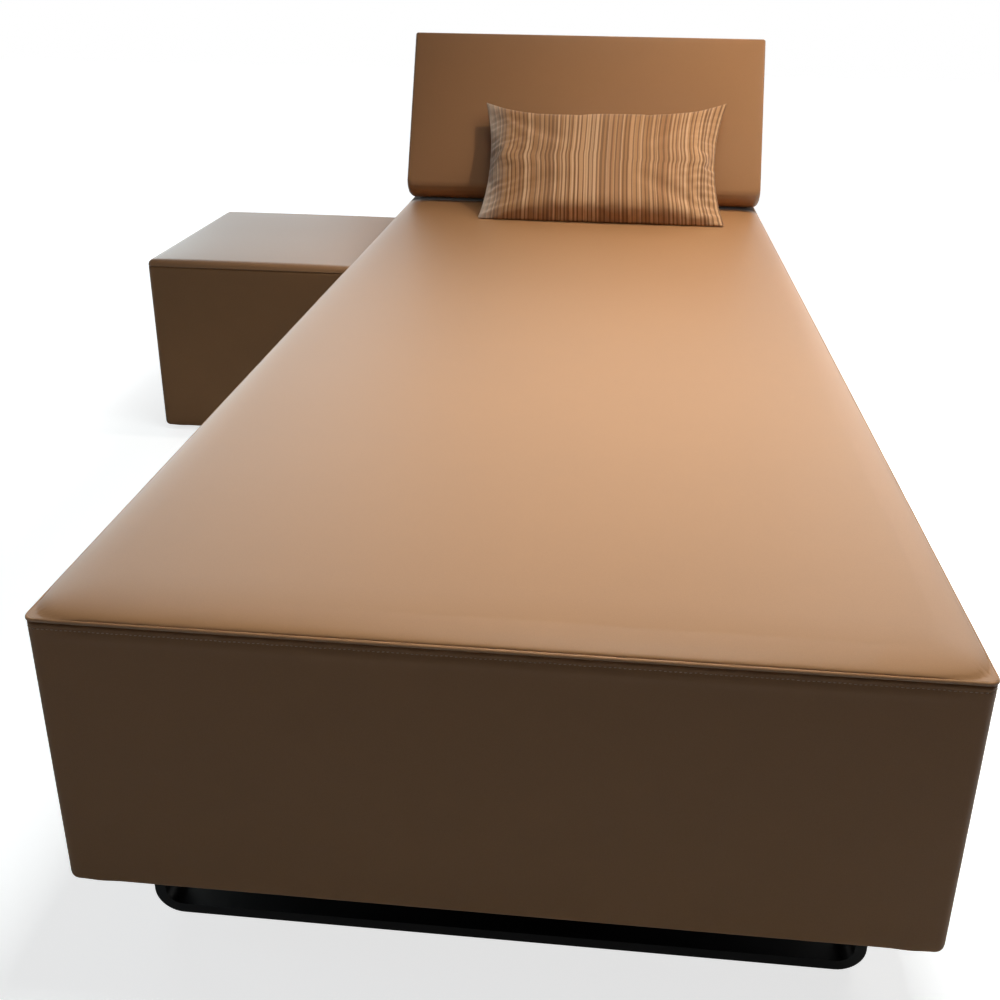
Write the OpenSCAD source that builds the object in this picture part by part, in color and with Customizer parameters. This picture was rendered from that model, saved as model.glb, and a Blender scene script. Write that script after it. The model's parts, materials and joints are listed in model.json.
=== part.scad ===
// Spa relaxation lounger: an upholstered body on two flat-bar sled loops, a backrest that reclines
// on friction hinges, a loose pillow and a matching side block. All lengths are millimetres.

/* [Lounger body] */
// Overall width over the welt
body_w = 850; // [700:10:1000]
// Length of the upholstered body
body_l = 1870; // [1600:10:2100]
// Height of the top seam above the floor
seat_h = 425; // [380:5:500]
// Height of the upholstered body
block_h = 305; // [270:5:330]
// Thickness of the foam under the seat cover
mattress_t = 118; // [90:2:130]
// Thickness of the soft upper foam layer
comfort_t = 38; // [20:2:50]
// How far the seat's top stands above its edge
seat_crown = 10; // [4:0.5:12]
// How far in from the edge the seat's top keeps rising
seat_roll = 80; // [40:5:140]
// Corner radius of the body seen from above
corner_r = 12; // [12:1:30]

/* [Cover] */
// Thickness of the upholstery leather with its backing
cover_t = 2; // [1:0.2:3]
// Thickness of the wadding strips on the sides
pad_t = 8; // [4:0.5:8]
// Radius of the welt cord
welt_r = 2; // [1.5:0.5:4]
// How far the welt stands out past the side cover
welt_proud = 1.2; // [0.4:0.2:2]
// Width of the hem turned under the frame
hem_w = 16; // [10:1:30]

/* [Wooden frame] */
// Thickness of the frame boards
rail_t = 22; // [16:1:30]
// Thickness of the deck board
deck_t = 15; // [9:1:21]
// Height of the cross rails
cross_h = 100; // [60:5:120]
// Width of the boards that the sled loops bolt to
bearer_w = 100; // [80:5:140]
// Leg length of the corner blocks
corner_block = 50; // [30:5:80]

/* [Sled loops] */
// Distance from the side of the body to the loop
loop_side_inset = 46.5; // [35:0.5:140]
// Width of the flat bar
bar_w = 50; // [40:5:80]
// Thickness of the flat bar
bar_t = 12; // [8:1:16]
// Outside bend radius
loop_r = 30; // [20:1:40]
// Distance from the end of the body to the loop
loop_inset = 79; // [60:1:160]
// Height of the glides under a loop
glide_h = 2.5; // [1:0.5:5]

/* [Backrest] */
// Distance from the centre of the rounded foot to the top edge
back_l = 368; // [300:2:420]
// Thickness of the backrest
back_t = 70; // [60:2:80]
// Lean from upright
back_tilt = 25; // [15:0.5:27]
// Distance from the head end of the body to the centre of the rounded foot
back_inset = 72.5; // [70:0.5:90]
// Height of the rounded foot above the seat seam
back_gap = 14.5; // [12:0.5:20]
// How far the middle of the front stands out
back_crown = 4; // [1:0.5:8]

/* [Hinges] */
// Distance from the side of the backrest to the middle of a hinge
hinge_inset = 175; // [120:5:270]
// Thickness of the carrier plate
carrier_t = 5; // [4:0.5:6]
// Distance from the side of the body to the carrier
carrier_side_inset = 20; // [15:1:75]
// Diameter of the pivot bolts
pivot_d = 10; // [8:1:12]
// Height of the pivot above the carrier
pivot_h = 30; // [28:1:36]

/* [Pillow] */
// Width from ear to ear
pillow_w = 560; // [400:10:640]
// Height from ear to ear
pillow_h = 296; // [240:4:310]
// Lean from upright
pillow_tilt = 37.5; // [36:0.5:40]

/* [Side block] */
// Width across the lounger's direction
block_w = 450; // [350:10:550]
// Depth along the lounger
block_d = 480; // [350:10:550]
// Height of the top's edge
block_top = 388; // [340:2:460]
// Gap between the side block and the lounger
block_gap = 18; // [5:1:60]
// Distance from the foot end to the front of the side block
block_y = 1312; // [1000:2:1380]

/* [Hidden] */
$fn = 64;

leather_col = [0.66, 0.49, 0.35];
leather_side_col = [0.50, 0.37, 0.27];
welt_col = [0.72, 0.56, 0.42];
steel_col = [0.07, 0.07, 0.075];
zinc_col = [0.72, 0.72, 0.70];
ply_col = [0.80, 0.66, 0.46];
pine_col = [0.85, 0.72, 0.50];
foam_col = [0.93, 0.90, 0.76];
soft_foam_col = [0.86, 0.90, 0.95];
wadding_col = [0.93, 0.93, 0.92];
felt_col = [0.13, 0.13, 0.14];
glide_col = [0.16, 0.16, 0.16];
washer_col = [0.45, 0.25, 0.16];
stripe_col = [0.76, 0.62, 0.46];

cut = 1;
face_gap = 0.3;
fit_gap = 0.05;
quarter = 90;

// Levels of the body, from the floor up
base_z = seat_h - block_h;
frame_z = base_z + cover_t;
top_z = seat_h - cover_t;
deck_z = top_z - mattress_t;
rail_top_z = deck_z - deck_t;
rail_h = rail_top_z - frame_z;

// Insets from the outermost line of the welt
skin_in = welt_proud;
pad_in = welt_proud + cover_t;
frame_in = pad_in + pad_t;
top_tuck_share = 0.4;
top_in = 2 * welt_r + top_tuck_share * welt_proud;
edge_r = cover_t + pad_t;
seam_gap = 0.2;
border_top_z = seat_h - welt_r - seam_gap;
frame_w = body_w - 2 * frame_in;
frame_l = body_l - 2 * frame_in;
cross_shares = [0.27, 0.5, 0.73];
least_corner_share = 0.1;

// Sled loops
loop_w = body_w - 2 * loop_side_inset;
loop_z = glide_h;
dust_t = 1;
loop_h = frame_z - dust_t - loop_z;
loop_inner_r = loop_r - bar_t;
sled_bolt_r = 4;
sled_bolt_head_r = 7;
sled_bolt_head_h = 4.4;
sled_bolt_shares = [-0.4, -0.15, 0.15, 0.4];
sled_bolt_xs = loop_w * sled_bolt_shares;
sled_bolt_bite_share = 0.8;
sled_bolt_bite = sled_bolt_bite_share * rail_t;
glide_r = 16;
glide_share = 0.42;
glide_x = glide_share * loop_w;
front_loop_y = loop_inset;
rear_loop_y = body_l - loop_inset - bar_w;
bolt_slack = 0.2;

// Backrest frame: local x across, local y up the backrest, local z out of its front
back_r = back_t / 2;
back_y = body_l - back_inset;
back_z = seat_h + back_gap + back_r;
back_edge_r = 6;
back_foot_corner_r = 22;
back_cover_t = 1.5;
board_t = 15;
board_inset = 30;
board_foot = 6;

// Hinges
hinge_span = body_w - 2 * hinge_inset;
carrier_w = body_w - 2 * carrier_side_inset;
carrier_z = seat_h + max(welt_r, seat_crown) + face_gap;
carrier_top_z = carrier_z + carrier_t;
carrier_front = 51;
carrier_skirt = 50;
carrier_inner_bend_r = 3;
carrier_bend_r = carrier_inner_bend_r + carrier_t;
carrier_back_y = body_l + face_gap;
strap_w = 70;
strap_corner_r = 14;
strap_foot_share = 0.16;
strap_foot_z = frame_z + strap_foot_share * rail_h;
carrier_bolt_shares = [0.34, 0.76];
carrier_bolt_zs = [for (share = carrier_bolt_shares) frame_z + share * rail_h];
carrier_bolt_r = 4;
hex_head_r = 7.5;
hex_head_h = 5.3;
hex_nut_h = 6.5;
carrier_bolt_end_share = 1.3;
carrier_bolt_end = carrier_bolt_end_share * hex_nut_h;
pivot_inset = 12;
pivot_y = body_l - pivot_inset;
pivot_z = carrier_top_z + pivot_h;
pivot_r = pivot_d / 2;
eye_r = 16;
leaf_ear_t = 8;
washer_t = 1.5;
washer_r = 13;
fixed_ear_t = 6;
clevis_gap = leaf_ear_t / 2 + washer_t + 2 * fit_gap;
clevis_out = clevis_gap + fixed_ear_t;
pivot_head_r = 9.2;
pivot_head_h = 6.4;
lock_nut_h = 9.5;
lock_collar_share = 0.25;
lock_collar_r_share = 0.8;
pivot_bolt_end_share = 1.2;
pivot_bolt_end = pivot_bolt_end_share * lock_nut_h;
leaf_w = 60;
leaf_corner_r = 7.5;
leaf_t = 5;
leaf_foot = 6;
leaf_l = 114;
leaf_screw_x = 20;
leaf_screw_shares = [0.34, 0.86];
leaf_screw_vs = leaf_l * leaf_screw_shares;
leaf_screw_r = 3;
leaf_screw_head_r = 5.6;
leaf_screw_head_h = 3.2;
leaf_screw_bite = 12;
heel_front = 21;
heel_back = 5;
brow_shares = [-0.94, 0.34];
shoulder_shares = [0.6, 0.7];
leaf_ear_share = 0.72;

// Pillow
pillow_front_t = 50;
pillow_back_t = 31;
pillow_side_draw = 22;
pillow_top_draw = 13;
pillow_foot_draw = 3;
pillow_cover_t = 1.2;
pillow_foot_y = 1651;
pillow_gap = 0.1;
pillow_x = 49;

// Side block
block_crown = 4;
block_corner_r = 12;
block_edge_r = 12;
block_glide_h = 10;
block_base_z = block_glide_h - cover_t;
block_board_t = 15;
block_base_t = 12;
block_foam_t = 35;
block_x = -(body_w / 2 + block_gap + block_w / 2);
block_mid_y = block_y + block_d / 2;
block_seam_drop = 2;
block_roll_share = 0.98;
block_roll_steps = 4;
block_seam_z = block_top - block_edge_r - block_seam_drop;
block_foam_z = block_top - cover_t - block_foam_t;
block_top_board_z = block_foam_z - block_board_t;
block_frame_in = cover_t + pad_t;
block_glide_r = 16;
block_glide_in = 46;

// Ring counts for the soft forms
corner_steps = 4;
edge_steps = 4;
nose_step = 22.5;
roll_shares = [0, 0.03, 0.1, 0.25, 0.5, 1];
roll_top_share = 0.97;
seat_roll_power = 2.5;
crown_power = 4;
seat_shares = [0.86, 0.6, 0.3];
face_shares = [0.96, 0.86, 0.68, 0.4];
block_shares = [0.95, 0.84, 0.64, 0.35];

// Points that follow a rectangle with round corners, counted anticlockwise
function corner_points(c, r, a) = [for (i = [0 : corner_steps])
    c + r * [cos(a + quarter * i / corner_steps), sin(a + quarter * i / corner_steps)]];
function edge_points(a, b) = [for (i = [1 : edge_steps - 1]) a + (b - a) * i / edge_steps];
function outline(x0, x1, y0, y1, r0, r1) =
    let (a = corner_points([x1 - r0, y0 + r0], r0, -quarter),
        b = corner_points([x1 - r1, y1 - r1], r1, 0),
        c = corner_points([x0 + r1, y1 - r1], r1, quarter),
        d = corner_points([x0 + r0, y0 + r0], r0, 2 * quarter))
    concat(a, edge_points(a[corner_steps], b[0]), b, edge_points(b[corner_steps], c[0]), c,
        edge_points(c[corner_steps], d[0]), d, edge_points(d[corner_steps], a[0]));
function lift(points, z) = [for (p = points) [p[0], p[1], z]];
function toward(points, c, s, z) = [for (p = points) [c[0] + s * (p[0] - c[0]), c[1] + s * (p[1] - c[1]), z]];
function flat_list(lists) = [for (l = lists) for (p = l) p];

// A closed solid through a stack of rings, with a middle point at each end
module ring_solid(rings, low, high) {
    n = len(rings[0]);
    m = len(rings);
    points = concat(flat_list(rings), [low, high]);
    walls = [for (k = [0 : m - 2]) for (i = [0 : n - 1]) for (side = [0, 1])
        let (a = k * n + i, b = k * n + (i + 1) % n)
        side == 0 ? [a, a + n, b] : [b, a + n, b + n]];
    bottom = [for (i = [0 : n - 1]) [i, (i + 1) % n, m * n]];
    top = [for (i = [0 : n - 1]) [(m - 1) * n + (i + 1) % n, (m - 1) * n + i, m * n + 1]];
    polyhedron(points, concat(walls, bottom, top), convexity = 6);
}

module rounded_rect(w, l, r) {
    square([w - 2 * r, l], center = true);
    square([w, l - 2 * r], center = true);
    for (x = [-1, 1]) for (y = [-1, 1]) {
        translate([x * (w / 2 - r), y * (l / 2 - r)]) circle(r);
    }
}

// Sweeps an edge profile around a rectangle. The profile's x is counted out from the corner centres
module around(w, l, r) {
    for (i = [0 : 3]) {
        side = i % 2 == 0 ? l : w;
        reach = i % 2 == 0 ? w : l;
        rotate(i * quarter) {
            translate([reach / 2 - r, side / 2 - r, 0]) rotate([quarter, 0, 0]) linear_extrude(side - 2 * r)
                children();
            translate([reach / 2 - r, side / 2 - r, 0]) rotate_extrude(angle = quarter) children();
        }
    }
}

// A side cover: a thin wall whose lower edge turns in with a round edge
module skin_profile(r, inset, t, edge, z0, z1) {
    translate([r - inset - t, z0 + edge]) square([t, z1 - z0 - edge]);
    translate([r - inset - edge, z0 + edge]) intersection() {
        difference() {
            circle(edge);
            circle(edge - t);
        }
        translate([0, -edge - cut]) square([edge + cut, edge + cut]);
    }
}

module hem(w, l, r, t, width) {
    linear_extrude(t) difference() {
        rounded_rect(w, l, r);
        square([w - 2 * width, l - 2 * width], center = true);
    }
}

module cyl_y(r, l) {
    rotate([-quarter, 0, 0]) cylinder(r = r, h = l);
}

module cyl_x(r, l, fn = 64) {
    rotate([0, quarter, 0]) cylinder(r = r, h = l, $fn = fn);
}

// Backrest rings: one for each level through the thickness, then a crown on the front
function back_side_inset(w, r) =
    let (over = abs(w) - (r - back_edge_r))
    over <= 0 ? 0 : back_edge_r - sqrt(max(0, back_edge_r * back_edge_r - over * over));
function back_ring(w, t) =
    let (r = back_r - t, side = back_side_inset(w, r), foot = sqrt(max(0, r * r - w * w)))
    lift(outline(-body_w / 2 + t + side, body_w / 2 - t - side, -foot, back_l - t - side,
        back_foot_corner_r - t, back_edge_r - t), w);
function back_levels(t) = [for (a = [-quarter : nose_step : quarter])
    back_ring((back_r - t) * sin(a), t)];
function back_front(t) = [for (s = face_shares) let (z = back_r - t + back_crown * (1 - pow(s, crown_power)))
    toward(back_ring(back_r - t, t), [0, back_l / 2], s, z)];
function back_rings(t) = concat(back_levels(t), back_front(t));
function back_world_y(p) = back_y + p[1] * sin(back_tilt) - p[2] * cos(back_tilt);
back_depth = max([for (p = flat_list(back_levels(0))) back_world_y(p)]);

// The origin lies on the floor under the middle of the whole set
set_left = block_x - block_w / 2;
set_mid_x = (set_left + body_w / 2) / 2;
set_mid_y = back_depth / 2;

module in_set() {
    translate([-set_mid_x, -set_mid_y, 0]) children();
}

module in_body() {
    in_set() translate([0, body_l / 2, 0]) children();
}

module on_back() {
    in_set() translate([0, back_y, back_z]) rotate([quarter - back_tilt, 0, 0]) children();
}

module in_block() {
    in_set() translate([block_x, block_mid_y, 0]) children();
}

module hinge_sides() {
    for (x = [-1, 1]) translate([x * hinge_span / 2, 0, 0]) children();
}

// Sled base
module sled_loop(y) {
    color(steel_col) in_set() translate([0, y, 0]) difference() {
        translate([0, bar_w, loop_z + loop_h / 2]) rotate([quarter, 0, 0]) linear_extrude(bar_w)
            difference() {
                rounded_rect(loop_w, loop_h, loop_r);
                rounded_rect(loop_w - 2 * bar_t, loop_h - 2 * bar_t, loop_inner_r);
            }
        for (x = sled_bolt_xs) {
            translate([x, bar_w / 2, loop_z + loop_h - bar_t - cut])
                cylinder(r = sled_bolt_r + bolt_slack, h = bar_t + 2 * cut);
        }
    }
}

module front_sled_loop() {
    sled_loop(front_loop_y);
}

module rear_sled_loop() {
    sled_loop(rear_loop_y);
}

module at_sled_bolts() {
    for (y = [front_loop_y, rear_loop_y]) for (x = sled_bolt_xs) {
        translate([x, y + bar_w / 2, 0]) children();
    }
}

module sled_bolts() {
    socket_r = 2.9;
    socket_deep = 2.4;
    color(steel_col) in_set() at_sled_bolts() difference() {
        translate([0, 0, loop_z + loop_h - bar_t]) {
            cylinder(r = sled_bolt_r, h = bar_t + dust_t + sled_bolt_bite);
            translate([0, 0, -sled_bolt_head_h]) cylinder(r = sled_bolt_head_r, h = sled_bolt_head_h);
        }
        translate([0, 0, loop_z + loop_h - bar_t - sled_bolt_head_h - cut])
            cylinder(r = socket_r, h = socket_deep + cut, $fn = 6);
    }
}

module sled_glides() {
    color(glide_col) in_set() for (y = [front_loop_y, rear_loop_y]) for (x = [-glide_x, 0, glide_x]) {
        translate([x, y + bar_w / 2, 0]) cylinder(r = glide_r, h = glide_h);
    }
}

// Wooden frame
module side_rail(side) {
    color(ply_col) in_body() translate([side * (frame_w - rail_t) / 2, 0, frame_z + rail_h / 2])
        cube([rail_t, frame_l, rail_h], center = true);
}

module left_rail() {
    side_rail(-1);
}

module right_rail() {
    side_rail(1);
}

module end_rail(side) {
    translate([0, side * (frame_l - rail_t) / 2, frame_z + rail_h / 2])
        cube([frame_w - 2 * rail_t, rail_t, rail_h], center = true);
}

module foot_rail() {
    color(ply_col) in_body() end_rail(-1);
}

module carrier_holes() {
    hinge_sides() for (z = carrier_bolt_zs) {
        translate([0, body_l - frame_in - rail_t - cut, z])
            cyl_y(carrier_bolt_r + bolt_slack, frame_in + rail_t + carrier_t + 3 * cut);
    }
}

module head_rail() {
    color(ply_col) difference() {
        in_body() end_rail(1);
        in_set() carrier_holes();
    }
}

module cross_rail(share) {
    color(pine_col) in_set() translate([0, share * body_l, rail_top_z - cross_h / 2])
        cube([frame_w - 2 * rail_t, rail_t, cross_h], center = true);
}

module front_cross_rail() {
    cross_rail(cross_shares[0]);
}

module middle_cross_rail() {
    cross_rail(cross_shares[1]);
}

module rear_cross_rail() {
    cross_rail(cross_shares[2]);
}

module bearer(y) {
    color(pine_col) in_set() difference() {
        translate([0, y + bar_w / 2, frame_z + rail_t / 2])
            cube([frame_w - 2 * rail_t, bearer_w, rail_t], center = true);
        at_sled_bolts() translate([0, 0, frame_z - cut])
            cylinder(r = sled_bolt_r + fit_gap, h = sled_bolt_bite + cut);
    }
}

module front_bearer() {
    bearer(front_loop_y);
}

module rear_bearer() {
    bearer(rear_loop_y);
}

module corner_blocks() {
    z0 = frame_z + rail_t;
    color(pine_col) in_body() for (x = [0, 1]) for (y = [0, 1]) {
        mirror([x, 0, 0]) mirror([0, y, 0])
            translate([frame_w / 2 - rail_t, frame_l / 2 - rail_t, z0]) linear_extrude(rail_top_z - z0)
                polygon([[0, 0], [-corner_block, 0], [0, -corner_block]]);
    }
}

module deck_board() {
    color(ply_col) in_body() translate([0, 0, rail_top_z + deck_t / 2])
        cube([frame_w, frame_l, deck_t], center = true);
}

module dust_cover() {
    inset = skin_in + edge_r + hem_w + face_gap;
    color(felt_col) difference() {
        in_body() translate([0, 0, frame_z - dust_t / 2])
            cube([body_w - 2 * inset, body_l - 2 * inset, dust_t], center = true);
        in_set() at_sled_bolts() translate([0, 0, frame_z - dust_t - cut])
            cylinder(r = sled_bolt_r + bolt_slack, h = dust_t + 2 * cut);
    }
}

// Wadding wrapped round a frame with square corners, under a cover with round ones
module pad_ring(w, l, r, z0, z1) {
    translate([0, 0, z0]) linear_extrude(z1 - z0) difference() {
        rounded_rect(w, l, r);
        square([w - 2 * pad_t, l - 2 * pad_t], center = true);
    }
}

module side_padding() {
    color(wadding_col) difference() {
        in_body() pad_ring(body_w - 2 * pad_in, body_l - 2 * pad_in, corner_r - pad_in,
            base_z + edge_r, deck_z);
        in_set() carrier_holes();
    }
}

// Seat upholstery
function seat_line(inset) =
    let (r = max(corner_r - inset, least_corner_share * corner_r))
    outline(-body_w / 2 + inset, body_w / 2 - inset, -body_l / 2 + inset, body_l / 2 - inset, r, r);
function seat_rise(share) = seat_crown * sqrt(1 - pow(1 - share, seat_roll_power));
function seat_top(z) = concat(
    [for (share = roll_shares)
        lift(seat_line(top_in + share * seat_roll), z + roll_top_share * seat_rise(share))],
    [for (share = seat_shares) toward(seat_line(top_in + seat_roll), [0, 0], share,
        z + seat_crown * (1 - (1 - roll_top_share) * share))]);

module mattress_core() {
    color(foam_col) in_body() translate([0, 0, deck_z]) linear_extrude(mattress_t - comfort_t)
        rounded_rect(body_w - 2 * pad_in, body_l - 2 * pad_in, corner_r - pad_in);
}

module comfort_layer() {
    low_z = top_z - comfort_t;
    step_z = border_top_z - seam_gap;
    edge = seat_line(pad_in);
    rings = concat([lift(edge, low_z), lift(edge, step_z), lift(seat_line(top_in), step_z)], seat_top(top_z));
    color(soft_foam_col) in_body() ring_solid(rings, [0, 0, low_z], [0, 0, top_z + seat_crown]);
}

module top_cover() {
    under = seat_top(top_z);
    over = seat_top(top_z + cover_t);
    last = len(under) - 1;
    rings = concat([for (i = [0 : last]) under[last - i]], over);
    color(leather_col) in_body()
        ring_solid(rings, [0, 0, top_z + seat_crown], [0, 0, top_z + cover_t + seat_crown]);
}

module border_cover() {
    hem_in = skin_in + edge_r;
    color(leather_side_col) difference() {
        in_body() {
            around(body_w, body_l, corner_r)
                skin_profile(corner_r, skin_in, cover_t, edge_r, base_z, border_top_z);
            translate([0, 0, base_z])
                hem(body_w - 2 * hem_in, body_l - 2 * hem_in, corner_r - hem_in, cover_t, hem_w);
        }
        in_set() carrier_holes();
    }
}

module top_welt() {
    color(welt_col) in_body() around(body_w, body_l, corner_r)
        translate([corner_r - welt_r, seat_h]) circle(welt_r, $fn = 32);
}

// Backrest carrier: a steel angle over the head end, two straps down to the head rail and two clevises
module fixed_ear() {
    foot = carrier_top_z - pivot_z;
    translate([0, pivot_y, pivot_z]) rotate([quarter, 0, quarter]) linear_extrude(fixed_ear_t) difference() {
        union() {
            circle(eye_r);
            polygon([[-heel_front, foot], [eye_r, foot], [eye_r, 0], eye_r * brow_shares]);
        }
        circle(pivot_r + fit_gap);
    }
}

// The bent plate seen from the side, from the front edge of its top leg to the foot of its rear leg
module carrier_profile() {
    far_y = carrier_back_y + carrier_t;
    bend_y = far_y - carrier_bend_r;
    bend_z = carrier_top_z - carrier_bend_r;
    translate([body_l - carrier_front, carrier_z]) square([bend_y - body_l + carrier_front, carrier_t]);
    translate([carrier_back_y, carrier_top_z - carrier_skirt])
        square([carrier_t, carrier_skirt - carrier_bend_r]);
    translate([bend_y, bend_z]) intersection() {
        difference() {
            circle(carrier_bend_r);
            circle(carrier_bend_r - carrier_t);
        }
        square(carrier_bend_r + cut);
    }
}

module carrier_strap() {
    top_z = carrier_top_z - carrier_skirt;
    translate([0, carrier_back_y + carrier_t, (strap_foot_z + top_z) / 2]) rotate([quarter, 0, 0])
        linear_extrude(carrier_t) {
            rounded_rect(strap_w, top_z - strap_foot_z, strap_corner_r);
            translate([-strap_w / 2, 0]) square([strap_w, (top_z - strap_foot_z) / 2 + cut]);
        }
}

module back_carrier() {
    color(steel_col) in_set() difference() {
        union() {
            translate([-carrier_w / 2, 0, 0]) rotate([quarter, 0, quarter]) linear_extrude(carrier_w)
                carrier_profile();
            hinge_sides() {
                carrier_strap();
                translate([clevis_gap, 0, 0]) fixed_ear();
                translate([-clevis_out, 0, 0]) fixed_ear();
            }
        }
        carrier_holes();
    }
}

module carrier_bolts() {
    grip = carrier_t + face_gap + frame_in + rail_t;
    color(zinc_col) in_set() hinge_sides() for (z = carrier_bolt_zs) {
        translate([0, carrier_back_y + carrier_t - grip - carrier_bolt_end, z])
            cyl_y(carrier_bolt_r, grip + carrier_bolt_end);
        translate([0, carrier_back_y + carrier_t, z]) rotate([-quarter, 0, 0])
            cylinder(r = hex_head_r, h = hex_head_h, $fn = 6);
    }
}

module carrier_nuts() {
    color(zinc_col) in_set() hinge_sides() for (z = carrier_bolt_zs) {
        translate([0, body_l - frame_in - rail_t - hex_nut_h, z]) rotate([-quarter, 0, 0]) difference() {
            cylinder(r = hex_head_r, h = hex_nut_h, $fn = 6);
            translate([0, 0, -cut]) cylinder(r = carrier_bolt_r + fit_gap, h = hex_nut_h + 2 * cut);
        }
    }
}

module pivot_bolts() {
    color(zinc_col) in_set() hinge_sides() translate([0, pivot_y, pivot_z]) {
        translate([-clevis_out - pivot_bolt_end, 0, 0]) cyl_x(pivot_r, 2 * clevis_out + pivot_bolt_end);
        translate([clevis_out, 0, 0]) cyl_x(pivot_head_r, pivot_head_h, 6);
    }
}

module pivot_lock_nuts() {
    collar = lock_collar_share * lock_nut_h;
    color(zinc_col) in_set() hinge_sides() translate([-clevis_out - lock_nut_h, pivot_y, pivot_z])
        difference() {
            union() {
                translate([collar, 0, 0]) cyl_x(pivot_head_r, lock_nut_h - collar, 6);
                cyl_x(lock_collar_r_share * pivot_head_r, collar);
            }
            translate([-cut, 0, 0]) cyl_x(pivot_r + fit_gap, lock_nut_h + 2 * cut);
        }
}

module friction_washers() {
    inner = clevis_gap - fit_gap;
    color(washer_col) in_set() hinge_sides() for (x = [-inner, inner - washer_t]) {
        translate([x, pivot_y, pivot_z]) difference() {
            cyl_x(washer_r, washer_t);
            translate([-cut, 0, 0]) cyl_x(pivot_r + fit_gap, washer_t + 2 * cut);
        }
    }
}

// Backrest
module back_board_shape() {
    low = board_foot;
    translate([0, (low + back_l - board_inset) / 2, -back_r + back_cover_t + board_t / 2])
        cube([body_w - 2 * board_inset, back_l - board_inset - low, board_t], center = true);
}

module leaf_holes(r, w, depth) {
    for (side = [-1, 1]) for (x = [-leaf_screw_x, leaf_screw_x]) for (v = leaf_screw_vs) {
        translate([side * hinge_span / 2 + x, leaf_foot + v, w - cut]) cylinder(r = r, h = depth + cut);
    }
}

module back_board() {
    color(ply_col) on_back() difference() {
        back_board_shape();
        leaf_holes(leaf_screw_r + fit_gap, -back_r, back_cover_t + leaf_screw_bite);
    }
}

module back_solid(t) {
    r = back_r - t;
    ring_solid(back_rings(t), [0, back_l / 2, -r], [0, back_l / 2, r + back_crown]);
}

module back_foam() {
    color(foam_col) on_back() difference() {
        back_solid(back_cover_t);
        translate([0, 0, -back_cover_t]) back_board_shape();
        back_board_shape();
    }
}

module back_panel_shape() {
    w = body_w - 2 * back_edge_r;
    l = back_l - back_edge_r;
    translate([0, l / 2, -back_r]) linear_extrude(back_cover_t)
        rounded_rect(w, l, back_edge_r);
}

module back_front_cover() {
    color(leather_col) on_back() difference() {
        back_solid(0);
        back_solid(back_cover_t);
        translate([0, 0, -cut]) back_panel_shape();
        back_panel_shape();
    }
}

module back_rear_panel() {
    color(leather_side_col) on_back() difference() {
        back_panel_shape();
        leaf_holes(leaf_screw_r + bolt_slack, -back_r, back_cover_t + cut);
    }
}

// Moving hinge leaf: a plate on the rear of the backrest, an ear with its eye, and a heel, its upright stop
leaf_w_pos = -back_r - leaf_t;
leaf_root = leaf_w_pos + leaf_t / 2;
leaf_ear_l = leaf_ear_share * leaf_l;
function from_pivot(v, w) = [back_y - pivot_y + v * sin(back_tilt) - w * cos(back_tilt),
    back_z - pivot_z + v * cos(back_tilt) + w * sin(back_tilt)];

module leaf_ear_shape() {
    heel = carrier_top_z + face_gap - pivot_z;
    root = from_pivot(leaf_foot, leaf_root);
    tip = from_pivot(leaf_foot + leaf_ear_l, leaf_root);
    difference() {
        union() {
            circle(eye_r);
            polygon([[-heel_front, heel], [-heel_back, heel], [0, 0], root]);
            polygon([[0, 0], tip, root]);
            polygon([[0, 0], eye_r * shoulder_shares, tip]);
        }
        circle(pivot_r + fit_gap);
    }
}

module back_leaf(side) {
    color(steel_col) {
        on_back() difference() {
            translate([side * hinge_span / 2, leaf_foot + leaf_l / 2, leaf_w_pos]) linear_extrude(leaf_t)
                rounded_rect(leaf_w, leaf_l, leaf_corner_r);
            leaf_holes(leaf_screw_r + bolt_slack, leaf_w_pos, leaf_t + cut);
        }
        in_set() translate([side * hinge_span / 2 - leaf_ear_t / 2, pivot_y, pivot_z])
            rotate([quarter, 0, quarter]) linear_extrude(leaf_ear_t) leaf_ear_shape();
    }
}

module left_back_leaf() {
    back_leaf(-1);
}

module right_back_leaf() {
    back_leaf(1);
}

module leaf_screws() {
    shank = leaf_t + back_cover_t + leaf_screw_bite;
    color(zinc_col) on_back() for (side = [-1, 1]) {
        for (x = [-leaf_screw_x, leaf_screw_x]) for (v = leaf_screw_vs) {
            translate([side * hinge_span / 2 + x, leaf_foot + v, leaf_w_pos]) {
                cylinder(r = leaf_screw_r, h = shank);
                translate([0, 0, -leaf_screw_head_h]) cylinder(r = leaf_screw_head_r, h = leaf_screw_head_h);
            }
        }
    }
}

// Pillow: two faces that swell from a seam whose sides are drawn in between pointed ears
pillow_steps = 8;
pillow_shares = [0.28, 0.55, 0.76, 0.9, 0.97];
ear_thin_share = 0.5;
swell_powers = [2.4, 0.62];
function pillow_side(a, b, inward, draw) = [for (i = [0 : pillow_steps - 1])
    let (u = i / pillow_steps, t = 2 * u - 1)
    a + (b - a) * u + inward * draw * (1 - t * t)];
function pillow_line(t) =
    let (x = pillow_w / 2 - t, y = pillow_h / 2 - t)
    concat(pillow_side([x, -y], [x, y], [-1, 0], pillow_side_draw),
        pillow_side([x, y], [-x, y], [0, -1], pillow_top_draw),
        pillow_side([-x, y], [-x, -y], [1, 0], pillow_side_draw),
        pillow_side([-x, -y], [x, -y], [0, 1], pillow_foot_draw));
function ear_share(i, s) =
    let (u = abs(2 * (i % pillow_steps) / pillow_steps - 1)) 1 - ear_thin_share * pow(u, 6) * pow(s, 3);
function pillow_ring(t, s, depth) =
    let (line = pillow_line(t), swell = depth * pow(1 - pow(s, swell_powers[0]), swell_powers[1]))
    [for (i = [0 : len(line) - 1]) [s * line[i][0], s * line[i][1], swell * ear_share(i, s)]];

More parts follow.
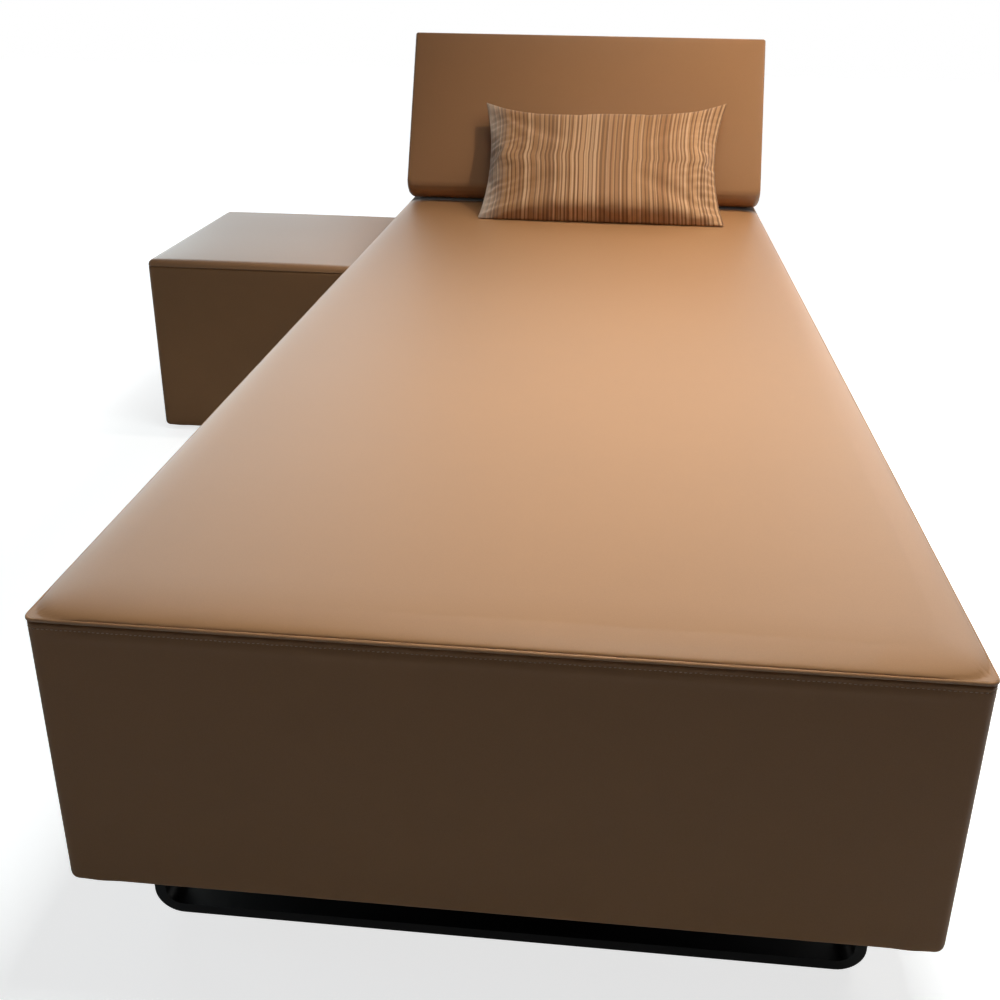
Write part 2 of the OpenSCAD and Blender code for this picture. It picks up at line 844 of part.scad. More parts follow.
module pillow_solid(t) {
    last = len(pillow_shares) - 1;
    back = [for (s = pillow_shares) pillow_ring(t, s, t - pillow_back_t)];
    front = [for (i = [0 : last]) pillow_ring(t, pillow_shares[last - i], pillow_front_t - t)];
    seam = lift(pillow_line(t), 0);
    ring_solid(concat(back, [seam], front), [0, 0, t - pillow_back_t], [0, 0, pillow_front_t - t]);
}

module on_pillow() {
    mid_y = pillow_foot_y + pillow_h / 2 * sin(pillow_tilt);
    mid_z = seat_h + seat_crown + pillow_gap + pillow_h / 2 * cos(pillow_tilt);
    in_set() translate([pillow_x, mid_y, mid_z]) rotate([quarter - pillow_tilt, 0, 0]) children();
}

module pillow_cover() {
    color(stripe_col) on_pillow() difference() {
        pillow_solid(0);
        pillow_solid(pillow_cover_t);
    }
}

module pillow_fill() {
    color(wadding_col) on_pillow() pillow_solid(pillow_cover_t);
}

// Side block
block_frame_w = block_w - 2 * block_frame_in;
block_frame_d = block_d - 2 * block_frame_in;
block_board_z = block_glide_h + block_base_t;
block_board_h = block_top_board_z - block_board_z;

module block_end_board(side) {
    color(ply_col) in_block()
        translate([0, side * (block_frame_d - block_board_t) / 2, block_board_z + block_board_h / 2])
            cube([block_frame_w, block_board_t, block_board_h], center = true);
}

module block_front_board() {
    block_end_board(-1);
}

module block_rear_board() {
    block_end_board(1);
}

module block_side_board(side) {
    color(ply_col) in_block()
        translate([side * (block_frame_w - block_board_t) / 2, 0, block_board_z + block_board_h / 2])
            cube([block_board_t, block_frame_d - 2 * block_board_t, block_board_h], center = true);
}

module block_left_board() {
    block_side_board(-1);
}

module block_right_board() {
    block_side_board(1);
}

module block_top_board() {
    color(ply_col) in_block() translate([0, 0, block_top_board_z + block_board_t / 2])
        cube([block_frame_w, block_frame_d, block_board_t], center = true);
}

module block_base_board() {
    color(ply_col) in_block() translate([0, 0, block_glide_h + block_base_t / 2])
        cube([block_frame_w, block_frame_d, block_base_t], center = true);
}

module block_padding() {
    color(wadding_col) in_block()
        pad_ring(block_w - 2 * cover_t, block_d - 2 * cover_t, block_corner_r - cover_t,
            block_base_z + edge_r, block_foam_z);
}

function block_line(inset) = outline(-block_w / 2 + inset, block_w / 2 - inset, -block_d / 2 + inset,
    block_d / 2 - inset, block_corner_r - inset, block_corner_r - inset);
// Rings over the rolled top edge and the crowned top, for a skin inset by t
function block_roll(t) = [for (a = [0 : quarter / block_roll_steps : quarter])
    let (r = block_edge_r - t)
    lift(block_line(t + block_roll_share * r * (1 - cos(a))), block_top - block_edge_r + r * sin(a))];
function block_face(t) =
    let (edge = block_line(t + block_roll_share * (block_edge_r - t)))
    [for (s = block_shares) toward(edge, [0, 0], s, block_top - t + block_crown * (1 - pow(s, crown_power)))];

module block_foam() {
    rings = concat([lift(block_line(cover_t), block_foam_z)], block_roll(cover_t), block_face(cover_t));
    color(foam_col) in_block()
        ring_solid(rings, [0, 0, block_foam_z], [0, 0, block_top - cover_t + block_crown]);
}

module block_top_cover() {
    inner = concat([lift(block_line(cover_t), block_seam_z)], block_roll(cover_t), block_face(cover_t));
    outer = concat([lift(block_line(0), block_seam_z)], block_roll(0), block_face(0));
    last = len(inner) - 1;
    rings = concat([for (i = [0 : last]) inner[last - i]], outer);
    color(leather_col) in_block() ring_solid(rings,
        [0, 0, block_top - cover_t + block_crown], [0, 0, block_top + block_crown]);
}

module block_border_cover() {
    color(leather_side_col) in_block() {
        around(block_w, block_d, block_corner_r)
            skin_profile(block_corner_r, 0, cover_t, edge_r, block_base_z, block_seam_z);
        translate([0, 0, block_base_z])
            hem(block_w - 2 * edge_r, block_d - 2 * edge_r, block_corner_r - edge_r, cover_t, hem_w);
    }
}

module block_glides() {
    color(glide_col) in_block() for (x = [-1, 1]) for (y = [-1, 1]) {
        translate([x * (block_w / 2 - block_glide_in), y * (block_d / 2 - block_glide_in), 0])
            cylinder(r = block_glide_r, h = block_glide_h);
    }
}

front_sled_loop();
rear_sled_loop();
sled_bolts();
sled_glides();
left_rail();
right_rail();
foot_rail();
head_rail();
front_cross_rail();
middle_cross_rail();
rear_cross_rail();
front_bearer();
rear_bearer();
corner_blocks();
deck_board();
dust_cover();
side_padding();
mattress_core();
comfort_layer();
border_cover();
top_cover();
top_welt();
back_carrier();
carrier_bolts();
carrier_nuts();
pivot_bolts();
pivot_lock_nuts();
friction_washers();
back_board();
back_foam();
back_front_cover();
back_rear_panel();
left_back_leaf();
right_back_leaf();
leaf_screws();
pillow_cover();
pillow_fill();
block_front_board();
block_rear_board();
block_left_board();
block_right_board();
block_top_board();
block_base_board();
block_padding();
block_foam();
block_top_cover();
block_border_cover();
block_glides();
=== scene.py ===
import json
import math

import bpy
import numpy as np
from mathutils import Matrix, Vector, noise


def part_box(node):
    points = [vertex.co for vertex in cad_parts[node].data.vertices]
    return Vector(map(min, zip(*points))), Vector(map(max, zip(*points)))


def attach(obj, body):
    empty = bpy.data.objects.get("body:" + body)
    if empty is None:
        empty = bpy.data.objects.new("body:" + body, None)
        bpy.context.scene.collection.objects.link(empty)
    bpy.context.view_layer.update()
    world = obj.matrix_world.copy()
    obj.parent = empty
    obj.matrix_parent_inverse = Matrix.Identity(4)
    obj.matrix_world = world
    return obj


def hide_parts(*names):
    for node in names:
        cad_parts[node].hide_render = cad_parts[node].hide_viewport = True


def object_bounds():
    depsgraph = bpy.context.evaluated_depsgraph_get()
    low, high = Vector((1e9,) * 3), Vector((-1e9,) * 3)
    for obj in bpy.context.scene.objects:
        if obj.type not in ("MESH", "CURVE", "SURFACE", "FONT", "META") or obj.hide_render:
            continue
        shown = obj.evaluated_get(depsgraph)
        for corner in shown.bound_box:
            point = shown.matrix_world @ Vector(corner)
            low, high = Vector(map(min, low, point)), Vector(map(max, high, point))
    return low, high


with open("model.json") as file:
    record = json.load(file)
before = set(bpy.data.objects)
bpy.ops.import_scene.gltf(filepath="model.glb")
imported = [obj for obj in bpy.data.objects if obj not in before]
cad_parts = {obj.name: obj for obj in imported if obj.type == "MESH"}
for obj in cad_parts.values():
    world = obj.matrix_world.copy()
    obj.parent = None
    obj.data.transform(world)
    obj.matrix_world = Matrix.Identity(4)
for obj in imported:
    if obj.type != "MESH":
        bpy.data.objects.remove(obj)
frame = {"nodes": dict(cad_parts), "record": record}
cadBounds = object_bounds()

scene = bpy.context.scene
print("frame loaded:", len(frame["nodes"]), "nodes")


# Node helpers

def setAll(owner, values):
    for name, value in values.items():
        setattr(owner, name, value)


def addNode(tree, kind, inputs=None, **settings):
    new = tree.nodes.new(kind)
    setAll(new, settings)
    for name, value in (inputs or {}).items():
        if isinstance(value, bpy.types.NodeSocket):
            tree.links.new(value, new.inputs[name])
        else:
            new.inputs[name].default_value = value
    return new


def nodeOutput(tree, kind, inputs=None, **settings):
    return addNode(tree, kind, inputs, **settings).outputs[0]


def mathNode(tree, operation, first, second=0.0, clamp=False):
    return nodeOutput(tree, "ShaderNodeMath", {0: first, 1: second}, operation=operation, use_clamp=clamp)


def plus(tree, first, second, clamp=False):
    return mathNode(tree, "ADD", first, second, clamp)


def times(tree, first, second, clamp=False):
    return mathNode(tree, "MULTIPLY", first, second, clamp)


def remap(tree, value, low, high, start=0.0, end=1.0, kind="LINEAR"):
    return nodeOutput(tree, "ShaderNodeMapRange", {
        "Value": value, "From Min": low, "From Max": high, "To Min": start, "To Max": end},
        interpolation_type=kind)


def noiseNode(tree, place, scale, detail, distortion=0.0):
    return nodeOutput(tree, "ShaderNodeTexNoise", {
        "Vector": place, "Scale": scale, "Detail": detail, "Distortion": distortion})


def bumpNode(tree, strength, distance, height):
    return nodeOutput(tree, "ShaderNodeBump", {"Strength": strength, "Distance": distance, "Height": height})


def axesOf(tree, place):
    return addNode(tree, "ShaderNodeSeparateXYZ", {0: place}).outputs


def blendColour(tree, share, first, second):
    mix = addNode(tree, "ShaderNodeMix", {0: share, 6: first, 7: second}, data_type="RGBA")
    return mix.outputs[2]


def ramp(tree, value, stops, interpolation="LINEAR"):
    new = addNode(tree, "ShaderNodeValToRGB", {0: value})
    new.color_ramp.interpolation = interpolation
    while len(new.color_ramp.elements) < len(stops):
        new.color_ramp.elements.new(0.5)
    for element, (place, colour) in zip(new.color_ramp.elements, stops):
        element.position = place
        element.color = (*colour, 1)
    return new.outputs[0]


def feed(tree, inputs, **values):
    for label, value in values.items():
        tree.links.new(value, inputs[label.replace("_", " ")])


def newMaterial(name, **constants):
    material = bpy.data.materials.new(name)
    material.use_nodes = True
    shader = material.node_tree.nodes["Principled BSDF"]
    for socketName, value in constants.items():
        shader.inputs[socketName.replace("_", " ")].default_value = value
    where = addNode(material.node_tree, "ShaderNodeTexCoord")
    return material, material.node_tree, shader.inputs, where.outputs


# Mesh helpers

def linkObject(name, data):
    new = bpy.data.objects.new(name, data)
    scene.collection.objects.link(new)
    return new


def shadeSmooth(mesh):
    mesh.polygons.foreach_set("use_smooth", [True] * len(mesh.polygons))


def newPiece(name, points, faces, material):
    mesh = bpy.data.meshes.new(name)
    mesh.from_pydata(np.asarray(points, float).tolist(), [], faces)
    mesh.materials.append(material)
    shadeSmooth(mesh)
    mesh.update()
    return linkObject(name, mesh)


def addModifier(piece, kind, **values):
    new = piece.modifiers.new(kind.lower(), kind)
    setAll(new, values)
    return new


def bakeModifiers(piece):
    made = bpy.data.meshes.new_from_object(piece.evaluated_get(bpy.context.evaluated_depsgraph_get()))
    piece.modifiers.clear()
    piece.data = made


def standFor(piece, body, slot, *nodes):
    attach(piece, body)
    if nodes:
        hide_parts(*nodes)


def noiseField(x, y, seed):
    spots = zip(np.ravel(x), np.ravel(y))
    return np.array([noise.noise(Vector((a, b, seed))) for a, b in spots]).reshape(np.shape(x))


def crownShare(x, y, powerX, powerY):
    # One in the middle and nothing at the edges, for places from -1 to 1
    return np.clip(1 - np.abs(x) ** powerX, 0, 1) * np.clip(1 - np.abs(y) ** powerY, 0, 1)


def waveField(s, x, y):
    return s["wave"] * noiseField(x / s["waveSize"], y / s["waveSize"], s["seed"])


# Outlines seen from above, as shares of a half width and half length

cornerMarks = (0, 0.0015, 0.003, 0.005, 0.0075, 0.011, 0.016, 0.024)  # first points, from a corner on


def sideMarks(length, spacing):
    ends, start = np.array(cornerMarks[:-1]), cornerMarks[-1]
    middle = np.linspace(start, length - start, max(2, round((length - 2 * start) / spacing) + 1))
    return np.concatenate([ends, middle, length - ends[::-1]]) / length * 2 - 1


def outlineShares(width, length, spacing):
    # The marks across and along, and the points of the outline that they give
    xs, ys = sideMarks(width, spacing), sideMarks(length, spacing)
    right = [(1, y) for y in ys[:-1]]
    top = [(x, 1) for x in xs[:0:-1]]
    left = [(-1, y) for y in ys[:0:-1]]
    bottom = [(x, -1) for x in xs[:-1]]
    return xs, ys, np.array(right + top + left + bottom)


def onOutline(shares, halfW, halfL, lowRadius, highRadius=None):
    radius = np.where(shares[:, 1] < 0, lowRadius, lowRadius if highRadius is None else highRadius)
    x, y = shares[:, 0] * halfW, shares[:, 1] * halfL
    offX, offY = halfW - np.abs(x), halfL - np.abs(y)
    along = np.maximum(offX, offY)
    turn = math.pi / 4 * (1 - along / radius)
    angle = np.where(offX <= offY, turn, math.pi / 2 - turn)
    cornerX = np.sign(x) * (halfW - radius + radius * np.cos(angle))
    cornerY = np.sign(y) * (halfL - radius + radius * np.sin(angle))
    near = along < radius
    return np.stack([np.where(near, cornerX, x), np.where(near, cornerY, y)], 1)


def lengthAlong(points):
    steps = np.linalg.norm(np.roll(points, -1, 0) - points, axis=1)
    return np.concatenate([[0], np.cumsum(steps)[:-1]])


def level(flat, z):
    return np.column_stack([flat, np.broadcast_to(z, len(flat))])


# A plan is the rectangle that a form covers, with the radius of its corners

leastCorner = 0.0012
probeStep = 0.001


def planOf(low, high, corner):
    return {"midX": (low.x + high.x) / 2, "midY": (low.y + high.y) / 2,
            "halfW": (high.x - low.x) / 2, "halfL": (high.y - low.y) / 2, "corner": corner}


def planOutline(plan, spacing):
    return outlineShares(2 * plan["halfW"], 2 * plan["halfL"], spacing)


def planRing(plan, shares, inset, z):
    corner = max(plan["corner"] - inset, leastCorner)
    flat = onOutline(shares, plan["halfW"] - inset, plan["halfL"] - inset, corner)
    return level(flat + [plan["midX"], plan["midY"]], z)


def planTop(plan, inset, height):
    def inner(x, y):
        x = plan["midX"] + x * (plan["halfW"] - inset)
        y = plan["midY"] + y * (plan["halfL"] - inset)
        return np.column_stack([x, y, height(x, y)])

    return inner


def outOfPlan(plan, shares, inset):
    # Unit directions out of the outline
    away = (planRing(plan, shares, inset, 0.0) - planRing(plan, shares, inset + probeStep, 0.0))[:, :2]
    return away / np.linalg.norm(away, axis=1, keepdims=True)


# Faces between rings of points, and over a grid inside the last ring

def ringFaces(count, rows, closed=False):
    faces = []
    for k in range(rows if closed else rows - 1):
        low, high = k * count, (k + 1) % rows * count
        faces += [(low + i, low + (i + 1) % count, high + (i + 1) % count, high + i) for i in range(count)]
    return faces


def panelFaces(xs, ys, lastRing, firstInner):
    nx, ny = len(xs), len(ys)
    order = [(nx - 1, j) for j in range(ny - 1)] + [(i, ny - 1) for i in range(nx - 1, 0, -1)]
    order += [(0, j) for j in range(ny - 1, 0, -1)] + [(i, 0) for i in range(nx - 1)]
    number = {spot: lastRing + k for k, spot in enumerate(order)}
    inner = [(i, j) for j in range(1, ny - 1) for i in range(1, nx - 1)]
    number.update({spot: firstInner + k for k, spot in enumerate(inner)})
    cells = [(i, j) for j in range(ny - 1) for i in range(nx - 1)]
    return [tuple(number[c] for c in ((i, j), (i + 1, j), (i + 1, j + 1), (i, j + 1))) for i, j in cells]


def crownedSolid(name, xs, ys, rings, inner, material):
    # A closed form: a flat bottom, rings up its sides and a grid over its top
    count = len(rings[0])
    gridX, gridY = np.meshgrid(xs[1:-1], ys[1:-1])
    points = np.concatenate([*rings, inner(gridX.ravel(), gridY.ravel())])
    faces = ringFaces(count, len(rings))
    faces += panelFaces(xs, ys, (len(rings) - 1) * count, len(rings) * count)
    faces.append(tuple(range(count - 1, -1, -1)))
    return newPiece(name, points, faces, material)


# Shader groups that several finishes share

def newFinish(name, **values):
    # Every finish takes a place, a colour and its own values, and gives a colour, a roughness and a normal
    group = bpy.data.node_groups.new(name, "ShaderNodeTree")
    group.interface.new_socket("Place", in_out="INPUT", socket_type="NodeSocketVector")
    group.interface.new_socket("Colour", in_out="INPUT", socket_type="NodeSocketColor")
    for label, value in values.items():
        label = label.replace("_", " ")
        socket = group.interface.new_socket(label, in_out="INPUT", socket_type="NodeSocketFloat")
        socket.default_value = value
    for label, kind in (("Colour", "Color"), ("Roughness", "Float"), ("Normal", "Vector")):
        group.interface.new_socket(label, in_out="OUTPUT", socket_type="NodeSocket" + kind)
    return group, group.nodes.new("NodeGroupInput").outputs, group.nodes.new("NodeGroupOutput").inputs


def closeFinish(group, out, given, swing, rough, bump):
    shade = {"Value": plus(group, 1.0, swing), "Color": given["Colour"]}
    tone = nodeOutput(group, "ShaderNodeHueSaturation", shade)
    feed(group, out, Colour=tone, Roughness=rough, Normal=bump)


leatherGrain = {
    "creaseSlope": 3.0, "height": 0.0001, "middle": 0.75,
    "fine": (2.3, 2.0), "patch": (2.6, 3.0), "cloud": (23.0, 4.0),  # scale and detail of each
    "fineShare": 0.5, "cloudShare": 0.5,
    "poreShade": 0.09, "roughShare": 0.4,
}


def leatherGroup():
    s = leatherGrain
    group, given, out = newFinish(
        "leatherFinish", Grain_Size=0.0011, Grain_Depth=0.25, Mottle=0.1, Roughness=0.46)
    place = given["Place"]
    density = mathNode(group, "DIVIDE", 1.0, given["Grain Size"])
    pebble = nodeOutput(
        group, "ShaderNodeTexVoronoi", {"Vector": place, "Scale": density}, feature="DISTANCE_TO_EDGE")
    crease = times(group, pebble, s["creaseSlope"], clamp=True)
    fine = noiseNode(group, place, times(group, density, s["fine"][0]), s["fine"][1])
    height = plus(group, crease, times(group, fine, s["fineShare"]))
    patch = noiseNode(group, place, *s["patch"])
    cloud = noiseNode(group, place, *s["cloud"])
    both = plus(group, patch, times(group, cloud, s["cloudShare"]))
    swing = times(group, plus(group, both, -s["middle"]), given["Mottle"])
    pores = times(group, plus(group, crease, -1.0), s["poreShade"])
    rough = plus(group, given["Roughness"], times(group, swing, s["roughShare"]))
    bump = bumpNode(group, given["Grain Depth"], s["height"], height)
    closeFinish(group, out, given, plus(group, swing, pores), rough, bump)
    return group


speckLook = {"height": 0.0004, "smearScale": 14.0, "detail": 3.0, "roughShare": 0.5}


def speckGroup():
    # Fine uneven grain for painted metal, plastic, felt and foam
    s = speckLook
    group, given, out = newFinish("fineSpeck", Size=0.001, Depth=0.2, Contrast=0.2, Roughness=0.5)
    speck = noiseNode(group, given["Place"], mathNode(group, "DIVIDE", 1.0, given["Size"]), s["detail"])
    smear = noiseNode(group, given["Place"], s["smearScale"], s["detail"])
    both = plus(group, speck, smear)
    swing = times(group, plus(group, both, -1.0), given["Contrast"])
    rough = plus(group, given["Roughness"], times(group, swing, s["roughShare"]), clamp=True)
    bump = bumpNode(group, given["Depth"], s["height"], speck)
    closeFinish(group, out, given, swing, rough, bump)
    return group


leatherFinish = leatherGroup()
fineSpeck = speckGroup()


# Materials

def groupMaterial(name, group, colour, values, **constants):
    material, tree, sockets, where = newMaterial(name, **constants)
    inputs = {"Place": where["Object"], "Colour": (*colour, 1), **values}
    made = addNode(tree, "ShaderNodeGroup", inputs, node_tree=group).outputs
    feed(tree, sockets, Base_Color=made["Colour"], Roughness=made["Roughness"], Normal=made["Normal"])
    return material


def leather(name, colour, mottle, rough, grain=0.0011, **constants):
    values = {"Grain Size": grain, "Mottle": mottle, "Roughness": rough}
    return groupMaterial(name, leatherFinish, colour, values, **constants)


def speckled(name, colour, size, depth, contrast, rough, **constants):
    values = {"Size": size, "Depth": depth, "Contrast": contrast, "Roughness": rough}
    return groupMaterial(name, fineSpeck, colour, values, **constants)


woodLook = {
    "detail": 6.0, "distortion": 0.7, "fibreDensity": 9, "fibreDetail": 3.0, "fibreShare": 0.35,
    "dark": 0.45, "light": (0.62, 0.85), "bump": 0.3, "height": 0.0003, "rough": 0.6,
}


def wood(name, light, dark, stretch, rings):
    # Grain lines run along the board: the pattern is stretched along that direction
    s = woodLook
    material, tree, sockets, where = newMaterial(name, Roughness=s["rough"])
    run = nodeOutput(tree, "ShaderNodeMapping", {"Vector": where["Object"], "Scale": stretch})
    lines = noiseNode(tree, run, rings, s["detail"], s["distortion"])
    fibre = noiseNode(tree, run, rings * s["fibreDensity"], s["fibreDetail"])
    both = plus(tree, lines, times(tree, fibre, s["fibreShare"]))
    colour = ramp(tree, both, [(s["dark"], dark), *((place, light) for place in s["light"])])
    feed(tree, sockets, Base_Color=colour, Normal=bumpNode(tree, s["bump"], s["height"], both))
    return material


leatherTones = {
    "top": (0.412, 0.198, 0.082),
    "side": (0.398, 0.192, 0.081),
    "welt": (0.445, 0.220, 0.097),
    "panel": (0.371, 0.180, 0.078),
}
topHide = {"mottle": 0.09, "rough": 0.44, "Coat_Weight": 0.7, "Coat_Roughness": 0.42}
topLeather = leather("topLeather", leatherTones["top"], **topHide)
# The seat top's leather, which gets a painted shade under the backrest's foot
seatLeatherPaintedShade = leather("seatLeatherPaintedShade", leatherTones["top"], **topHide)
sideLeather = leather("sideLeather", leatherTones["side"], mottle=0.14, rough=0.50, Specular_IOR_Level=0.3)
weltLeather = leather("weltLeather", leatherTones["welt"], mottle=0.12, rough=0.36, grain=0.0008)
panelLeather = leather("panelLeather", leatherTones["panel"], mottle=0.12, rough=0.5)
threadFinish, powderCoat, washerFinish, glidePlastic, felt, wadding, foam = (speckled(*row) for row in (
    # name, colour, speck size, depth, contrast, roughness
    ("threadFinish", (0.74, 0.57, 0.41), 0.0004, 0.1, 0.2, 0.7),
    ("powderCoat", (0.008, 0.008, 0.0085), 0.0006, 0.35, 0.25, 0.38),
    ("washerFinish", (0.22, 0.09, 0.04), 0.0005, 0.4, 0.4, 0.75),
    ("glidePlastic", (0.02, 0.02, 0.02), 0.001, 0.3, 0.3, 0.6),
    ("felt", (0.016, 0.016, 0.018), 0.0007, 1.0, 0.6, 0.95),
    ("wadding", (0.80, 0.80, 0.78), 0.004, 1.0, 0.2, 0.95),
    ("foam", (0.78, 0.70, 0.45), 0.0013, 1.0, 0.18, 0.9),
))
zincPlate = speckled("zincPlate", (0.62, 0.62, 0.60), 0.002, 0.1, 0.25, 0.32, Metallic=1.0)
plywood = wood("plywood", (0.60, 0.42, 0.24), (0.42, 0.27, 0.14), stretch=(1.0, 12.0, 12.0), rings=9.0)
pine = wood("pine", (0.72, 0.52, 0.28), (0.50, 0.29, 0.12), stretch=(14.0, 1.0, 14.0), rings=5.0)

cadFinishes = {
    "steel": powderCoat, "glide": glidePlastic, "plywood": plywood, "pine": pine, "felt": felt,
    "wadding": wadding, "foam": foam, "leather": topLeather, "leather_side": panelLeather,
    "leather_welt": weltLeather, "zinc": zincPlate, "washer": washerFinish, "stripes": foam,
}
nodeSlots = {node: entry["slot"] for entry in frame["record"]["materials"] for node in entry.get("nodes", [])}
for nodeName, nodeObject in frame["nodes"].items():
    nodeObject.data.materials.clear()
    nodeObject.data.materials.append(cadFinishes[nodeSlots.get(nodeName, "steel")])
print("finishes ready")


# Places of the body's top edge, from the frame

weltLow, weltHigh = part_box("top_welt")
bodyPlan = planOf(weltLow, weltHigh, corner=0.012)
weltLine = {"z": (weltLow.z + weltHigh.z) / 2, "radius": (weltHigh.z - weltLow.z) / 2}
seamGap = 0.0002


# Seat top: one hide over soft foam, rolled down to the welt on all four sides

seatTopSettings = {
    "spacing": 0.012, "edgeInset": 0.0029, "crown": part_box("top_cover")[1].z - weltLine["z"] - seamGap,
    "lift": 0.0018, "roll": 0.074, "rollPower": 3.0, "cornerPower": 5.0, "wave": 0.0002, "waveSize": 0.16,
    "seed": 3.7, "tuck": 0.0012, "lipInset": 0.4, "lipRise": 0.2,  # the lip's shares of the tuck and the lift
    "bottom": 0.040,
    "rollSteps": (0.0, 0.0002, 0.0007, 0.0015, 0.0028, 0.0046, 0.0070, 0.0100, 0.0140, 0.0190, 0.0250,
                  0.0330, 0.0430, 0.0550, 0.0690, 0.0830),
}


def seatRise(x, y):
    # The rolls of two sides run into each other, so no crease goes out to a corner
    s = seatTopSettings
    offX = bodyPlan["halfW"] - np.abs(x - bodyPlan["midX"]) - s["edgeInset"]
    offY = bodyPlan["halfL"] - np.abs(y - bodyPlan["midY"]) - s["edgeInset"]
    nearX, nearY = (np.clip(1 - off / s["roll"], 0, 1) for off in (offX, offY))
    near = np.minimum((nearX ** s["cornerPower"] + nearY ** s["cornerPower"]) ** (1 / s["cornerPower"]), 1)
    return s["lift"] + (s["crown"] - s["lift"]) * np.sqrt(1 - near ** s["rollPower"])


# Painted shade on the seat top under the backrest's foot: where it starts and where it is full, counted from
# the head end, how dark the colour gets, and how much rougher it becomes
paintedShadeStrip = {"start": 0.092, "full": 0.070, "shade": 0.16, "dull": 0.42}


def paintShadeUnderBackrest():
    # Painted shade: the seat hide under the backrest's foot is darkened in its colour so that the slit under
    # the backrest looks dark; it is also made rougher there and given less coat
    s = paintedShadeStrip
    tree = seatLeatherPaintedShade.node_tree
    shader = tree.nodes["Principled BSDF"].inputs
    place = axesOf(tree, addNode(tree, "ShaderNodeTexCoord").outputs["Object"])
    shadeShare = remap(tree, place[1], weltHigh.y - s["start"], weltHigh.y - s["full"])
    dark = (*(tone * s["shade"] for tone in leatherTones["top"]), 1)
    colour = blendColour(tree, shadeShare, shader["Base Color"].links[0].from_socket, dark)
    rough = plus(tree, shader["Roughness"].links[0].from_socket, times(tree, shadeShare, s["dull"]))
    coat = times(tree, mathNode(tree, "SUBTRACT", 1.0, shadeShare), topHide["Coat_Weight"])
    feed(tree, shader, Base_Color=colour, Roughness=rough, Coat_Weight=coat)


def makeSeatTop():
    s = seatTopSettings
    xs, ys, shares = planOutline(bodyPlan, s["spacing"])
    z = weltLine["z"]
    lips = ((s["tuck"], -s["bottom"]), (s["tuck"], -s["tuck"]),
            (s["lipInset"] * s["tuck"], s["lipRise"] * s["lift"]))
    rings = [planRing(bodyPlan, shares, s["edgeInset"] + inset, z + rise) for inset, rise in lips]
    for step in s["rollSteps"]:
        ring = planRing(bodyPlan, shares, s["edgeInset"] + step, z)
        x, y = ring[:, 0], ring[:, 1]
        ring[:, 2] += seatRise(x, y) + waveField(s, x, y) * min(1, step / s["roll"])
        rings.append(ring)

    inner = planTop(bodyPlan, s["edgeInset"] + s["rollSteps"][-1],
                    lambda x, y: z + seatRise(x, y) + waveField(s, x, y))
    seatTop = crownedSolid("seatTop", xs, ys, rings, inner, seatLeatherPaintedShade)
    standFor(seatTop, "lounger", "leather", "top_cover", "comfort_layer")


# Painted shade under the backrest's foot
paintShadeUnderBackrest()
makeSeatTop()
print("seat top ready")


# Seat border: the side panels, gathered a little under the welt, with a turned hem below

borderSettings = {
    "spacing": 0.0042, "inset": 0.0012, "thick": 0.0018, "topDrop": weltLine["radius"] + seamGap,
    "stitchDrop": 0.0062, "threadOut": 0.0001,
    # Round lower edge with its hem, and the fold beside each corner
    "edgeRadius": 0.010, "edgeSteps": 6, "hem": 0.016, "hemStep": 0.003,
    "foldReach": 0.030, "foldWidth": 0.013, "foldDrop": 0.0016, "foldFade": 9,
    "foldRest": 0.33, "foldHeight": 0.2,
    # Rings up the side: even ones, then closer ones under the top, of which the inner side has fewer
    "firstRing": 0.012, "lastRing": 0.036, "evenRings": 12, "innerEvery": 4,
    "topRings": (0.028, 0.022, 0.018, 0.0155, 0.0135, 0.0120, 0.0105, 0.0090, 0.0075, 0.0055, 0.0035, 0.0015),
    # Swells along the seam: height over the stitches, half width and depth of each
    "swells": ((0.0, 0.0016, -0.0008), (-0.0075, 0.0045, 0.0008), (0.0026, 0.0012, 0.00016)),
    "tuckDepth": 0.0016, "tuckWidth": 0.0024, "topTuck": 0.0018,
    # Gathers under the seam: strength, length, sway and the sway's own length of each
    "gathers": ((1.0, 0.0031, 2.2, 0.041), (0.6, 0.0067, 1.7, 0.083)),
    "pucker": 0.00040, "puckerReach": 0.009, "puckerPower": 1.5,
    "wave": 0.00045, "waveSize": 0.24, "seed": 11.3, "waveStretch": 0.8, "waveFade": 0.04,
    "calmReach": 0.050, "leastCalm": 0.15,
}


